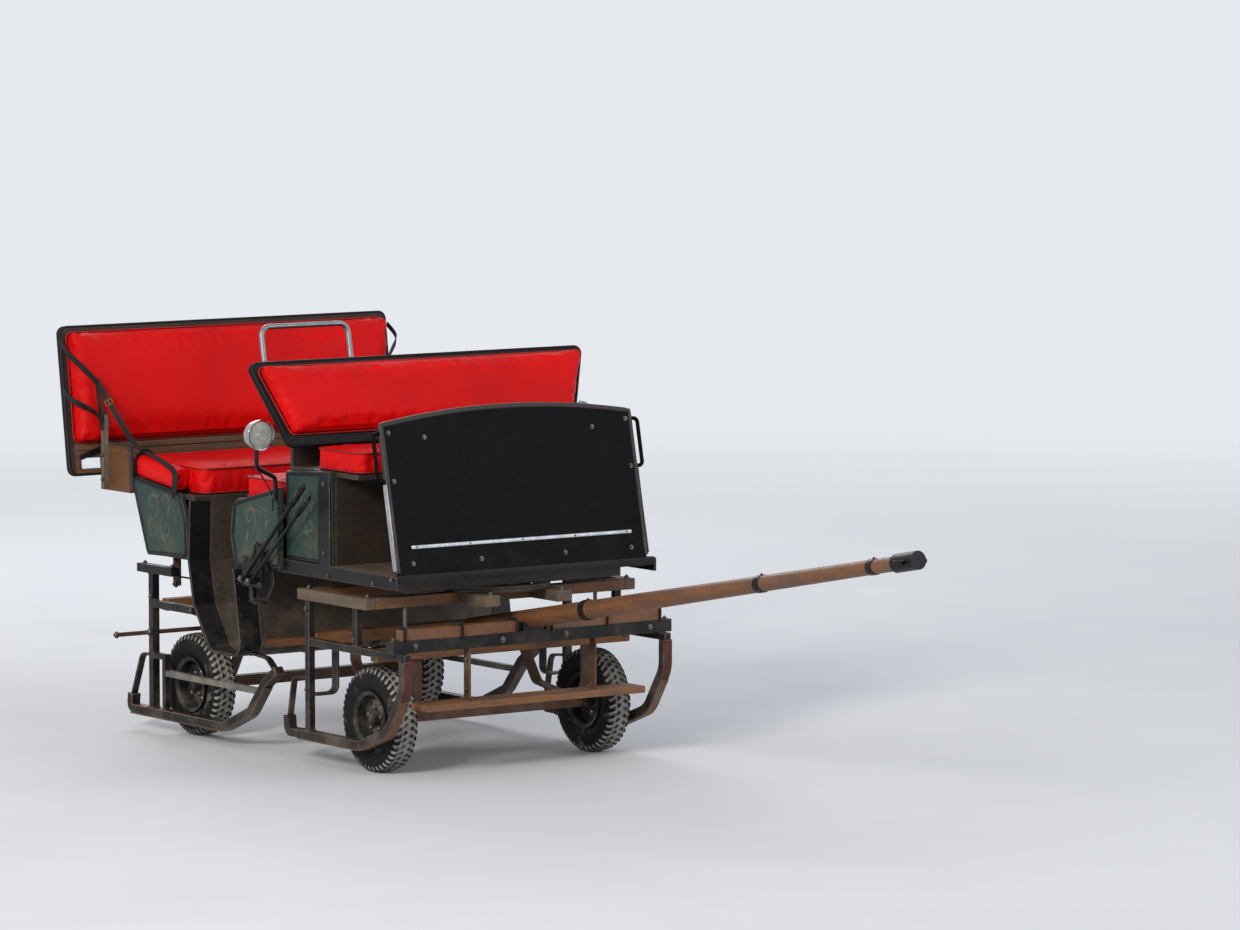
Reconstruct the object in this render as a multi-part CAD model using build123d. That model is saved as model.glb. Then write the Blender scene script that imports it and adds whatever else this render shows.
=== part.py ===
from build123d import *
from math import atan, cos, radians, sin, tan
import os

os.makedirs("parts", exist_ok=True)

# Two-bob passenger sleigh for a pair of horses, standing on its road wheels.
# +X is forward, +Y is left and the ground is z = 0. Lengths are millimetres.
# Every x below is measured from the front axle, and export moves the model so
# that its origin lies under the middle of its length.

# Clearances
running_gap = 0.05
seat_gap = 0.3

# Wheels
wheel_base = 1330.0
track = 1020.0
tyre_radius = 210.0
tyre_width = 108.0
bead_radius = 101.0
rim_width = 82.0
stub_radius = 12.5
axle_z = tyre_radius
axle_beam = 44.0
axle_beam_half = track / 2 - 72
axle_arm_y = 405.0
arm_width = 46.0
arm_thickness = 10.0

# Runners and the bars of the welded frames above them
runner_y = 620.0
runner_width = 44.0
runner_height = 36.0
frame_bar = 30.0
beam = 50.0
link_width = 26.0
link_thickness = 10.0

# Front bob
front_runner_z = 100.0
front_rail_z = 490.0
heel_x = -390.0
front_post_x = -335.0
middle_post_x = 8.0
toe_x = 40.0
toe_rise_x = 235.0
toe_rise_z = 190.0
nose_x = 345.0
nose_z = 360.0
nose_bend = 110.0
knee_y = 500.0
knee_z = 278.0
knee_width = 44.0
front_low_beam_x = 100.0
top_beam_front_x = 80.0
top_beam_rear_x = -340.0
brace_y = 170.0
brace_width = 70.0

# Rear bob
rear_runner_z = 65.0
rear_rail_z = 530.0
rear_heel_x = -1680.0
rear_heel_rise = 62.0
rear_toe_x = -960.0
rear_nose = ((-760.0, 165.0), (-650.0, 290.0), (-560.0, 352.0))
rear_post_x = -1512.0
rear_post_size = 32.0
rear_post_top = 655.0
rear_cap_height = 35.0
small_bar = 24.0
short_post_x = -1420.0
small_rail_z = 252.0
strut_z = 318.0
rear_beam_x = -1450.0
spring_reach = 540.0
spring_rise = 58.0
leaf = 8.0
tie_rod_radius = 9.0
tie_rod_z = 412.0
tie_rod_half = 800.0

# Fore-carriage top and turntable
top_rail_z = 677.0
top_rail_height = 45.0
top_rail_front_x = 105.0
ring_height = 12.0
ring_radius = 250.0
ring_width = 40.0
steer_pin_radius = 15.0

# Body plan
floor_top = 800.0
floor_thickness = 25.0
floor_front_x = 285.0
body_bottom = 735.0
sill_height = 54.0
sill_thickness = 10.0
rear_half = 660.0
front_half = 610.0
band_width = 100.0
footwell_half = rear_half - band_width
panel_thickness = 20.0
board_thickness = 18.0

# Footwell between the two seats
footwell_bottom = 385.0
footwell_rear_x = -1180.0
footwell_toe_x = -1015.0
footwell_front_x = -785.0
band_thickness = 12.0

# Rear seat
rear_seat_top = 1000.0
rear_seat_front_x = -1160.0
rear_seat_back_x = -1885.0
rear_box_bottom_x = -1495.0
rear_box_top_x = -1593.0
rear_back_half = 800.0
rear_back_z = 1035.0
rear_back_height = 612.0
rear_back_lean = 8.0
back_board = 24.0
rear_pad = 58.0
rear_pad_low = 130.0
board_slot = (25.0, 68.0)
board_slot_margin = 55.0
board_slot_reach = 145.0
arm_roll_width = 74.0
arm_roll_height = 104.0
arm_post_x = -1805.0
arm_post_top = 1290.0

# Rear-facing bench and driver's seat
bench_rear_x = -862.0
bench_front_x = -520.0
bench_top = 1015.0
driver_front_x = -190.0
driver_seat_top = 1170.0
driver_seat_overhang = 160.0
driver_back_x = -396.0
driver_back_z = 1258.0
driver_back_height = 342.0
driver_back_lean = 20.0
driver_back_low_half = 680.0
driver_back_top_half = 800.0
driver_pad = 50.0
corner_post_width = 80.0
hoop_inset = 160.0
hoop_width = 410.0
hoop_height = 457.0
bench_y = front_half + sill_thickness + panel_thickness

# Dashboard
dash_foot_x = 262.0
dash_height = 590.0
dash_rise = 48.0
dash_lean = 12.0
dash_half = 590.0
dash_thickness = 20.0

# Lamps
lamp_x = -450.0
lamp_y = 770.0
lamp_z = 1305.0
lamp_radius = 60.0

# Splinter bar, swingletrees and pole
splinter_x = 300.0
splinter_half = 665.0
tree_y = 345.0
tree_length = 560.0
tree_height = 42.0
tree_bolt_radius = 9.0
trace_eye_radius = 8.0
pole_butt_x = -120.0
pole_tip_x = 2740.0
pole_tip_z = 1045.0
pole_butt_radius = 40.0
pole_tip_radius = 27.0
pole_ring_bore = 12.0
pole_seat = 4.0
pole_head_wall = 8.0
pole_head_overhang = 20.0

# Step plank and brake lever
plank_low = 272.0
plank_height = 28.0
plank_half = 520.0
lever_x = -745.0
lever_rise = 400.0
lever_run = 439.0

# Levels that follow from the sizes above
front_rail_top = front_rail_z + frame_bar / 2
splinter_top = front_rail_top + beam
top_frame_low = top_rail_z - top_rail_height / 2
top_frame_high = top_frame_low + top_rail_height
floor_low = floor_top - floor_thickness
front_runner_top = front_runner_z + runner_height
rear_runner_top = rear_runner_z + runner_height
rear_beam_top = rear_rail_z + beam / 2
pole_splinter_z = splinter_top + pole_butt_radius + pole_seat
pole_slope = (pole_tip_z - pole_splinter_z) / (pole_tip_x - splinter_x)
pole_head_radius = pole_tip_radius + pole_head_wall
pole_angle = atan(pole_slope)
front_end_x = pole_tip_x + pole_head_overhang * cos(pole_angle) + pole_head_radius * sin(pole_angle)
rear_end_x = rear_seat_back_x - rear_back_height * sin(radians(rear_back_lean))
origin_x = (front_end_x + rear_end_x) / 2

rear_cross_front_x = -1190.0

right_and_left = (("right", -1), ("left", 1))


def block(x, y, z):
    """A box between the low and high value on each axis."""
    size = [high - low for low, high in (x, y, z)]
    middle = [(high + low) / 2 for low, high in (x, y, z)]
    return Pos(*middle) * Box(*size)


def span(side, inner, outer):
    """The low and high y of a piece on the right (-1) or left (1) side."""
    return tuple(sorted((side * inner, side * outer)))


def outline(points):
    """A closed outline in the XZ plane."""
    return Polyline(*[(x, 0, z) for x, z in points], close=True)


def side_plate(edges, y):
    """A plate of any outline in the XZ plane, between two y values."""
    return Pos(0, y[0], 0) * extrude(make_face(edges), amount=y[1] - y[0], dir=(0, 1, 0))


def flat_bar(points, across, width, thickness, bend):
    """A flat bar bent through points in space; across is its wide direction."""
    path = FilletPolyline(*points, radius=bend)
    return sweep(Plane(path @ 0, x_dir=across, z_dir=path % 0) * Rectangle(width, thickness), path)


def side_bar(points, y, width, thickness, bend):
    """A flat bar bent in the XZ plane at one y, its width along Y."""
    return flat_bar([(x, y, z) for x, z in points], (0, 1, 0), width, thickness, bend)


def rod(points, radius, bend=0.0):
    """A round bar through points in space, with one bend radius."""
    path = FilletPolyline(*points, radius=bend) if bend else Polyline(*points)
    return sweep(Plane(path @ 0, z_dir=path % 0) * Circle(radius), path, transition=Transition.ROUND)


def cross_rod(x, z, y, radius):
    """A round bar along Y between two y values."""
    return Pos(x, (y[0] + y[1]) / 2, z) * Rot(90, 0, 0) * Cylinder(radius, y[1] - y[0])


def turned(profile):
    """Revolve (radius, y) points about the Y axis."""
    return revolve(make_face(Polyline(*[(r, y, 0) for r, y in profile], close=True)), axis=Axis.Y)


def both_sides(shape):
    return Compound([shape, mirror(shape, about=Plane.XZ)])


def leaning(shape, x, z, lean):
    """Stand a shape on (x, z) and lean it back by an angle in degrees."""
    return Pos(x, 0, z) * Rot(0, -lean, 0) * shape


def save(name, shape):
    export_step(Pos(-origin_x, 0, 0) * shape, "parts/" + name + ".step")


def tyre():
    """Plain tyre: bead, two bulged side walls and a crowned tread."""
    half = tyre_width / 2
    bead = half - 18
    shoulder = tyre_radius - 16
    wall = bead_radius + 49
    edges = [
        Line((bead_radius, 0, -bead), (bead_radius, 0, bead)),
        ThreePointArc((bead_radius, 0, bead), (wall, 0, half), (shoulder, 0, half - 12)),
        ThreePointArc((shoulder, 0, half - 12), (tyre_radius, 0, 0), (shoulder, 0, 12 - half)),
        ThreePointArc((shoulder, 0, 12 - half), (wall, 0, -half), (bead_radius, 0, -bead)),
    ]
    return Rot(90, 0, 0) * revolve(make_face(edges), axis=Axis.Z)


def rim(side):
    """Pressed barrel, dished disc with six holes, and a hub on the stub."""
    half = rim_width / 2
    seat = bead_radius - seat_gap
    inner = seat - 4
    flange = bead_radius + 12
    hub = 32.0
    disc_y = 12.0
    bore = stub_radius + running_gap
    wheel = turned([
        (seat, -half), (flange, -half - 8), (flange, -half - 12), (inner, -half - 3),
        (inner, half + 3), (flange, half + 12), (flange, half + 8), (seat, half),
    ])
    wheel += turned([
        (hub - 6, disc_y), (hub + 16, disc_y + 12), (bead_radius - 22, disc_y + 4), (inner + 1, disc_y - 10),
        (inner + 1, disc_y - 14), (bead_radius - 24, disc_y), (hub + 14, disc_y + 8), (hub - 6, disc_y - 4),
    ])
    for spot in PolarLocations(bead_radius - 34, 6):
        wheel -= Pos(spot.position.X, disc_y, spot.position.Y) * Rot(90, 0, 0) * Cylinder(9, 40)
    wheel += turned([
        (bore, -38), (hub - 6, -38), (hub - 6, -8), (hub + 8, -4), (hub + 8, 6), (hub - 2, 14),
        (hub - 8, 40), (0, 46), (0, 34), (bore, 34),
    ])
    return wheel if side > 0 else mirror(wheel, about=Plane.XZ)


def wheels():
    for end, x in (("front", 0.0), ("rear", -wheel_base)):
        for side_name, side in right_and_left:
            place = Pos(x, side * track / 2, axle_z)
            save("tyre_" + end + "_" + side_name, place * tyre())
            save("rim_" + end + "_" + side_name, place * rim(side))


def axle(x, arm):
    """Square beam with its two stub axles, and the bent arms bolted on it."""
    half = axle_beam / 2
    stub_end = track / 2 + 32
    across = block((x - half, x + half), (-axle_beam_half, axle_beam_half), (axle_z - half, axle_z + half))
    pieces = []
    for side_name, side in right_and_left:
        across += cross_rod(x, axle_z, span(side, axle_beam_half, stub_end), stub_radius)
        across += cross_rod(x, axle_z, span(side, axle_beam_half, axle_beam_half + 14), half)
        bent = [(x + dx, z) for dx, z in arm]
        pieces.append(side_bar(bent, side * axle_arm_y, arm_width, arm_thickness, 40))
    return Compound([across] + pieces)


def axles():
    saddle = axle_z + axle_beam / 2 + arm_thickness / 2
    top = rear_rail_z - beam / 2
    reach = wheel_base + rear_beam_x
    rear_arm = [(reach, top), (reach, 330), (-60, saddle), (60, saddle), (-reach, 330), (-reach, top)]
    save("rear_axle", axle(-wheel_base, rear_arm))
    front_arm = [
        (front_post_x, front_rail_z - frame_bar / 2), (front_post_x, 400), (-240, 265), (-60, saddle),
        (60, saddle), (front_low_beam_x, 300), (front_low_beam_x, front_rail_z + 10 - beam),
    ]
    save("front_axle", axle(0.0, front_arm))


def runner(end, side):
    """Flat bar on edge of the track, turned up at the nose."""
    half = runner_height / 2
    if end == "front":
        low = front_runner_z + half
        line = [
            (heel_x, low), (toe_x, low), (toe_rise_x, toe_rise_z), (nose_x, nose_z),
            (nose_x, front_rail_z - frame_bar / 2),
        ]
        return side_bar(line, side * runner_y, runner_width, runner_height, nose_bend)
    low = rear_runner_z + half
    line = [(rear_heel_x + 8, low + rear_heel_rise), (rear_heel_x, low), (rear_toe_x, low), *rear_nose]
    return side_bar(line, side * runner_y, runner_width, runner_height, 24)


def post(x, y, z_low, z_high, size=frame_bar):
    half = size / 2
    return block((x - half, x + half), (y - half, y + half), (z_low, z_high))


def rail(x_low, x_high, y, z, size=frame_bar):
    half = size / 2
    return block((x_low, x_high), (y - half, y + half), (z - half, z + half))


def front_frame(side):
    """Square bars that stand on a front runner, each ending on the next."""
    y = side * runner_y
    half = frame_bar / 2
    knee = [
        (front_post_x, side * knee_y, front_rail_z - half), (front_post_x, side * knee_y, knee_z),
        (front_post_x, side * (runner_y - half), knee_z),
    ]
    return Compound([
        post(front_post_x, y, front_runner_top, top_frame_low),
        rail(front_post_x + half, nose_x + runner_height / 2, y, front_rail_z),
        post(middle_post_x, y, front_rail_z + half, top_frame_low),
        flat_bar(knee, (1, 0, 0), knee_width, link_thickness, 30),
    ])


def rear_frame(side, runner_bar):
    """Square bars that stand on a rear runner, and its bent heel and nose links."""
    y = side * runner_y
    half = rear_post_size / 2
    small = small_bar / 2
    face = rear_post_x + half
    upright = post(rear_post_x, y, rear_runner_top, rear_post_top, rear_post_size)
    upright -= cross_rod(rear_post_x, tie_rod_z, span(side, knee_y, tie_rod_half), tie_rod_radius + seat_gap)
    cap_top = rear_post_top + rear_cap_height
    cap = block((rear_post_x - 100, rear_post_x + 168), (y - 20, y + 20), (rear_post_top, cap_top))
    heel = [(rear_heel_x + 8, rear_runner_top + 39), (-1596, strut_z), (rear_post_x - half, strut_z)]
    nose = [(-586, 350), (-640, 392), (-800, 404)]
    bars = [
        upright,
        cap,
        post(short_post_x, y, rear_runner_top, strut_z - small, small_bar),
        rail(face, short_post_x + small, y, strut_z, small_bar),
        rail(short_post_x + small, rear_nose[1][0] - 40, y, small_rail_z, small_bar) - runner_bar,
        rail(face, rear_cross_front_x, y, rear_rail_z),
        side_bar(heel, y, link_width, link_thickness, 40) - runner_bar,
        side_bar(nose, y, link_width, link_thickness, 60) - runner_bar - door_band(side),
    ]
    return Compound(bars)


def runners_and_frames():
    for side_name, side in right_and_left:
        save("front_runner_" + side_name, runner("front", side))
        save("front_side_frame_" + side_name, front_frame(side))
        runner_bar = runner("rear", side)
        save("rear_runner_" + side_name, runner_bar)
        save("rear_side_frame_" + side_name, rear_frame(side, runner_bar))


def across_beam(x, half, z_low):
    """Square beam across the sleigh, centred on x."""
    return block((x - beam / 2, x + beam / 2), (-half, half), (z_low, z_low + beam))


def fore_carriage():
    """Wooden frames of the steered bob, its stays and its plank."""
    inner = runner_y - beam / 2
    level = (top_frame_low, top_frame_high)
    pieces = [block((heel_x, top_rail_front_x), span(side, inner, inner + beam), level) for side in (-1, 1)]
    for x in (top_beam_rear_x, top_beam_front_x):
        pieces.append(block((x - beam / 2, x + beam / 2), (-inner, inner), level))
    runs = (
        (top_beam_rear_x + beam / 2, top_beam_front_x - beam / 2),
        (top_beam_front_x + beam / 2, splinter_x - 10),
    )
    for run in runs:
        for side in (-1, 1):
            pieces.append(block(run, span(side, brace_y - brace_width / 2, brace_y + brace_width / 2), level))
    save("front_top_frame", Compound(pieces))

    inner = runner_y - frame_bar / 2
    low = front_rail_z - frame_bar / 2
    front_low = front_rail_z + 10 - beam
    beams = [across_beam(front_post_x, inner, low), across_beam(front_low_beam_x, inner, front_low)]
    save("front_cross_beams", Compound(beams))

    irons = []
    plank_top = plank_low + plank_height
    for y in (-300, 300):
        irons.append(block((splinter_x - 20, splinter_x + 20), (y - 4, y + 4), (plank_top, front_rail_top)))
    stay_low = front_low + beam
    stay = Cylinder(8, top_frame_low - stay_low)
    for y in (-455, 455):
        irons.append(Pos(front_low_beam_x - 5, y, (stay_low + top_frame_low) / 2) * stay)
    save("front_irons", Compound(irons))
    save("step_plank", block((splinter_x - 70, splinter_x + 50), (-plank_half, plank_half), (plank_low, plank_top)))


def turntable():
    """Two flat rings with cross plates, joined by the pin they turn on."""
    ring = Cylinder(ring_radius, ring_height) - Cylinder(ring_radius - ring_width, ring_height)
    plate = ring + Box(2 * ring_radius - ring_width, 60, ring_height) + Cylinder(45, ring_height)
    bore = Cylinder(steer_pin_radius + running_gap, ring_height)
    save("turntable_lower", Pos(0, 0, top_frame_high + ring_height / 2) * (plate - bore))
    low = top_frame_high + ring_height + seat_gap
    upper = Pos(0, 0, low + ring_height / 2) * plate
    upper += Pos(0, 0, low - 20) * Cylinder(steer_pin_radius, 40)
    for x in (-150, 150):
        upper += block((x - 30, x + 30), (-520, 520), (low + ring_height, floor_low))
    save("turntable_upper", upper)


def splinter_bar():
    half = beam / 2
    level = (front_rail_top, splinter_top)
    bar = block((splinter_x - half, splinter_x + half), (-splinter_half, splinter_half), level)
    head_low = splinter_top + tree_height + 2 * seat_gap
    for side_name, side in right_and_left:
        middle = Pos(splinter_x, side * tree_y, (splinter_top + head_low) / 2)
        bar += middle * Cylinder(tree_bolt_radius, head_low - splinter_top + 2)
        bar += Pos(splinter_x, side * tree_y, head_low) * extrude(RegularPolygon(15, 6), amount=10)
    save("splinter_bar", bar)


def swingletrees():
    """Tapered bars on the splinter bar, an eye for a trace at each tip."""
    half = tree_length / 2
    edges = [(-20, -half, 0), (20, -half, 0), (27, 0, 0), (20, half, 0), (-20, half, 0), (-27, 0, 0)]
    for side_name, side in right_and_left:
        bar = extrude(make_face(Polyline(*edges, close=True)), amount=tree_height)
        bar = fillet(bar.edges().filter_by(Axis.Z), 12)
        bar -= Cylinder(tree_bolt_radius + running_gap, 3 * tree_height)
        for y in (20 - half, half - 20):
            bar -= Pos(0, y, 0) * Cylinder(trace_eye_radius, 3 * tree_height)
        save("swingletree_" + side_name, Pos(splinter_x, side * tree_y, splinter_top + seat_gap) * bar)


def pole():
    """Tapered pole in two saddles, with a ringed iron head for the straps."""
    butt = Vector(pole_butt_x, 0, pole_splinter_z + pole_slope * (pole_butt_x - splinter_x))
    tip = Vector(pole_tip_x, 0, pole_tip_z)
    axis = (tip - butt).normalized()
    shaft = loft([
        Plane(butt, x_dir=(0, 1, 0), z_dir=axis) * Circle(pole_butt_radius),
        Plane(tip, x_dir=(0, 1, 0), z_dir=axis) * Circle(pole_tip_radius),
    ])
    save("pole", shaft)
    head_length = 130
    middle = tip + axis * (pole_head_overhang - head_length / 2)
    iron = Plane(middle, x_dir=(0, 1, 0), z_dir=axis) * Cylinder(pole_head_radius, head_length)
    ring_y = pole_tip_radius + pole_ring_bore + 14
    for side_name, side in right_and_left:
        iron += Pos(pole_tip_x - 30, side * ring_y, pole_tip_z - 6) * Cylinder(pole_ring_bore + 8, 14)
        iron -= Pos(pole_tip_x - 30, side * ring_y, pole_tip_z - 6) * Cylinder(pole_ring_bore, 20)
    saddles = block((splinter_x - 22, splinter_x + 22), (-47, 47), (splinter_top, splinter_top + 34))
    saddles += block((78, 122), (-47, 47), (front_rail_z + 10, front_rail_z + 60))
    save("pole_irons", Compound([iron - shaft, saddles - shaft]))


def rear_bob():
    """Cross-beams, tie rod, leaf spring and shackles of the rear bob."""
    inner = runner_y - frame_bar / 2
    low = rear_rail_z - beam / 2
    beams = [
        across_beam(rear_beam_x, inner, low),
        block((rear_cross_front_x - 45, rear_cross_front_x), (-inner, inner), (low, low + beam)),
    ]
    save("rear_cross_beams", Compound(beams))

    # Four leaves, each bent to the same curve and a third shorter than the next.
    spring = None
    for row in range(4):
        end = spring_reach * (row + 1.5) / 4.5
        past = end + 5
        z = rear_beam_top + leaf * (row + 0.5)
        rise = spring_rise * (past / spring_reach) ** 2
        tips = [(rear_beam_x, side * past, z + rise) for side in (-1, 1)]
        path = ThreePointArc(tips[0], (rear_beam_x, 0, z), tips[1])
        piece = sweep(Plane(path @ 0, x_dir=(1, 0, 0), z_dir=path % 0) * Rectangle(beam, leaf + 0.6), path)
        piece &= Pos(rear_beam_x, 0, z + spring_rise) * Box(beam + 10, 2 * end, 2 * spring_rise + leaf)
        spring = piece if row == 0 else spring + piece
    save("rear_spring", spring)
    half = beam / 2 - 1
    hanger = block(
        (rear_beam_x - half, rear_beam_x + half), (spring_reach + seat_gap, spring_reach + 12),
        (rear_beam_top + beam, body_bottom)
    )
    irons = [hanger, mirror(hanger, about=Plane.XZ)]
    irons.append(cross_rod(rear_post_x, tie_rod_z, (-tie_rod_half, tie_rod_half), tie_rod_radius))
    save("rear_irons", Compound(irons))


footwell_line = [
    (footwell_rear_x + 12, rear_seat_top), (footwell_rear_x, body_bottom), (footwell_rear_x + 38, 560),
    (footwell_toe_x, footwell_bottom), (footwell_front_x, footwell_bottom), (bench_rear_x + 8, floor_top),
]


def above(x_low, x_high, z_low):
    """A block that cuts away whatever stands above a level."""
    return block((x_low, x_high), (-2 * rear_half, 2 * rear_half), (z_low, z_low + floor_top))


def footwell_strip(y, width, thickness, front_top):
    """Bar or board bent along the footwell's end, cut level at both tops."""
    strip = side_bar(footwell_line, y, width, thickness, 55)
    strip -= above(2 * footwell_rear_x, footwell_toe_x, rear_seat_top - 20)
    return strip - above(footwell_toe_x, 0, front_top)


def door_band(side):
    """Iron band that follows the footwell's end, sill to seat."""
    return footwell_strip(side * (rear_half - band_width / 2), band_width, band_thickness, body_bottom)


def footwell():
    """Bent floor of the footwell, with a batten along its front foot."""
    shell = footwell_strip(0, 2 * footwell_half, board_thickness, floor_low)
    batten_low = footwell_bottom + 32
    shell += block(
        (footwell_front_x - 2, footwell_front_x + 30), (-footwell_half, footwell_half),
        (batten_low, batten_low + 30)
    )
    save("footwell_shell", shell)
    save("door_bands", Compound([door_band(-1), door_band(1)]))


def rear_box():
    """Floor, sloping back and seat board of the box under the rear seat."""
    inner = rear_half - panel_thickness
    seat_low = rear_seat_top - 20
    box = block((rear_box_bottom_x, footwell_rear_x - 12), (-inner, inner), (body_bottom, body_bottom + 20))
    box += side_plate(outline([
        (rear_box_bottom_x, body_bottom), (rear_box_bottom_x + 22, body_bottom),
        (rear_box_top_x + 22, seat_low), (rear_box_top_x, seat_low),
    ]), (-inner, inner))
    box += block((rear_seat_back_x, rear_seat_front_x), (-inner, inner), (seat_low, rear_seat_top))
    save("rear_box", box)


quarter_low = (footwell_rear_x - 8, body_bottom + 10)
quarter_high = (footwell_rear_x - 60, rear_seat_top + 5)
quarter_back = (-1622, rear_seat_top + 52)


def rear_sides():
    """Green quarter panels with a bowed front edge, and the seat's wings."""
    low = (quarter_low[0], 0, quarter_low[1])
    high = (quarter_high[0], 0, quarter_high[1])
    back = (quarter_back[0], 0, quarter_back[1])
    foot = (rear_box_bottom_x, 0, body_bottom)
    bow = ThreePointArc(low, (low[0] - 8, 0, (low[2] + high[2]) / 2 + 25), high)
    edges = [Line(foot, low), bow, Line(high, back), Line(back, foot)]
    for side_name, side in right_and_left:
        across = span(side, rear_half - panel_thickness, rear_half)
        save("rear_quarter_" + side_name, side_plate(edges, across))

    lean = tan(radians(rear_back_lean))
    face = rear_seat_back_x + back_board / cos(radians(rear_back_lean)) + seat_gap
    wing = outline([
        (face, rear_seat_top - 25), (-1626, rear_seat_top - 25), (-1640, 1163),
        (face - lean * (1163 - rear_back_z), 1163), (face, rear_back_z),
    ])
    plate = side_plate(wing, (rear_half - panel_thickness, rear_half))
    plate += post(arm_post_x, rear_half + 12, rear_seat_top - 15, arm_post_top, 24)
    save("rear_wings", both_sides(plate))


def seat_back(low_half, top_half, height, thickness, x_low):
    """A board or pad standing on z = 0, its width growing to the top."""
    corners = [(0, -low_half, 0), (0, low_half, 0), (0, top_half, height), (0, -top_half, height)]
    face = make_face(Polyline(*corners, close=True))
    return Pos(x_low, 0, 0) * extrude(face, amount=thickness, dir=(1, 0, 0))


def rounded(shape, axis, radius):
    return fillet(shape.edges().filter_by(axis), radius)


def rear_seat():
    half = rear_back_half
    place = (rear_seat_back_x, rear_back_z, rear_back_lean)
    frame = rounded(seat_back(half, half, rear_back_height, back_board, 0), Axis.X, 30)
    outer = half - board_slot_margin
    slot = block((-5, back_board + 5), (outer - board_slot_reach, outer), board_slot)
    frame -= both_sides(slot)
    save("rear_back_frame", leaning(frame, *place))
    edge = 22
    height = rear_back_height - rear_pad_low - edge
    pad = seat_back(half - edge, half - edge, height, rear_pad, back_board + seat_gap)
    save("rear_back_pad", leaning(Pos(0, 0, rear_pad_low) * rounded(pad, Axis.X, 26), *place))

    roll_in = rear_half - arm_roll_width + 12
    cushion = block(
        (rear_seat_back_x + 95, rear_seat_front_x - 5), (5 - roll_in, roll_in - 5),
        (rear_seat_top + seat_gap, rear_seat_top + 110)
    )
    save("rear_cushion", rounded(cushion, Axis.Z, 40))

    # The rolls lie along the sloping top edge of the quarter panels.
    run = quarter_high[0] - quarter_back[0]
    fall = quarter_back[1] - quarter_high[1]
    angle = Vector(run, 0, 0).get_angle(Vector(run, 0, fall))
    roll = block((40, run - 30), (roll_in, roll_in + arm_roll_width), (seat_gap, arm_roll_height))
    roll = rounded(roll, Axis.X, 30)
    save("rear_arm_rolls", both_sides(Pos(quarter_back[0], 0, quarter_back[1]) * Rot(0, angle, 0) * roll))

    # Each strap runs from the post's top to the edge of the back board.
    knot = (arm_post_x, rear_half + 12, arm_post_top + 5 + seat_gap)
    lean = tan(radians(rear_back_lean))
    strap = None
    for rise, middle in ((485, 75), (350, 35)):
        end_x = rear_seat_back_x - lean * rise + back_board
        end = (end_x, half + 5 + seat_gap, rear_back_z + rise)
        run = rod([knot, (arm_post_x - 17, half - 5, arm_post_top + 5 + middle), end], 5)
        strap = run if strap is None else strap + run
    save("side_straps", both_sides(strap))


def front_boxes():
    """Boards under the rear-facing bench and under the driver's seat."""
    inner = front_half + sill_thickness
    board = board_thickness
    box = block((bench_rear_x, bench_rear_x + board), (-inner, inner), (floor_top, bench_top - board))
    box += block((bench_rear_x - 10, bench_front_x), (-inner, inner), (bench_top - board, bench_top))
    inner = front_half - panel_thickness
    seat_low = driver_seat_top - 20
    box += block((bench_front_x, bench_front_x + board), (-inner, inner), (floor_top, driver_back_z - 8))
    box += block((driver_front_x - board, driver_front_x), (-inner, inner), (floor_top, seat_low))
    box += block(
        (bench_front_x + board, driver_front_x + driver_seat_overhang), (-inner, inner),
        (seat_low, driver_seat_top)
    )
    save("seat_boxes", box)


def front_panels():
    """On each side, the bench's bowed panel and the driver's box panel."""
    low = (bench_rear_x + 14, 0, body_bottom + 8)
    high = (bench_rear_x, 0, bench_top - 11)
    foot = (bench_front_x, 0, body_bottom + 25)
    corner = (bench_front_x, 0, bench_top + 72)
    bow = ThreePointArc(high, (bench_rear_x - 26, 0, (low[2] + high[2]) / 2), low)
    edges = [Line(low, foot), Line(foot, corner), Line(corner, high), bow]
    driver = outline([
        (bench_front_x, floor_top), (driver_front_x, floor_top),
        (driver_front_x, driver_seat_top), (bench_front_x, driver_seat_top - 18),
    ])
    for side_name, side in right_and_left:
        bowed = side_plate(edges, span(side, bench_y - panel_thickness, bench_y))
        flat = side_plate(driver, span(side, front_half - panel_thickness, front_half))
        save("front_panels_" + side_name, Compound([bowed, flat]))


def front_seats():
    inner = front_half - panel_thickness
    level = (bench_top + seat_gap, bench_top + 90)
    cushion = block((bench_rear_x, bench_front_x - 14), (-inner, inner), level)
    save("bench_cushion", rounded(cushion, Axis.Z, 35))
    cushion = block(
        (driver_back_x + 48, driver_front_x + driver_seat_overhang + 5), (6 - inner, inner - 6),
        (driver_seat_top + seat_gap, driver_back_z)
    )
    save("driver_cushion", rounded(cushion, Axis.Z, 40))

    place = (driver_back_x, driver_back_z, driver_back_lean)
    frame = seat_back(driver_back_low_half, driver_back_top_half, driver_back_height, back_board, 0)
    frame = leaning(rounded(frame, Axis.X, 26), *place)
    for y in (-420, 420):
        frame += block(
            (bench_front_x + board_thickness, driver_back_x + 20), (y - 20, y + 20),
            (driver_back_z - 20, driver_back_z + 12)
        )
    save("driver_back_frame", frame)
    edge = 18
    low = 40
    pad = seat_back(
        driver_back_low_half - edge + 8, driver_back_top_half - edge - 5, driver_back_height - low - edge,
        driver_pad, back_board + seat_gap
    )
    save("driver_back_pad", leaning(Pos(0, 0, low) * rounded(pad, Axis.X, 24), *place))

    outer = driver_back_top_half - hoop_inset
    run = ((-16, 0.168), (-124, 0.354), (-229, 0.661), (-259, 1.0))
    leg = [(driver_back_x + dx, driver_back_z + share * hoop_height) for dx, share in run]
    points = [(x, -outer, z) for x, z in leg] + [(x, hoop_width - outer, z) for x, z in reversed(leg)]
    save("back_hoop", rod(points, 11, 40) - frame)


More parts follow.
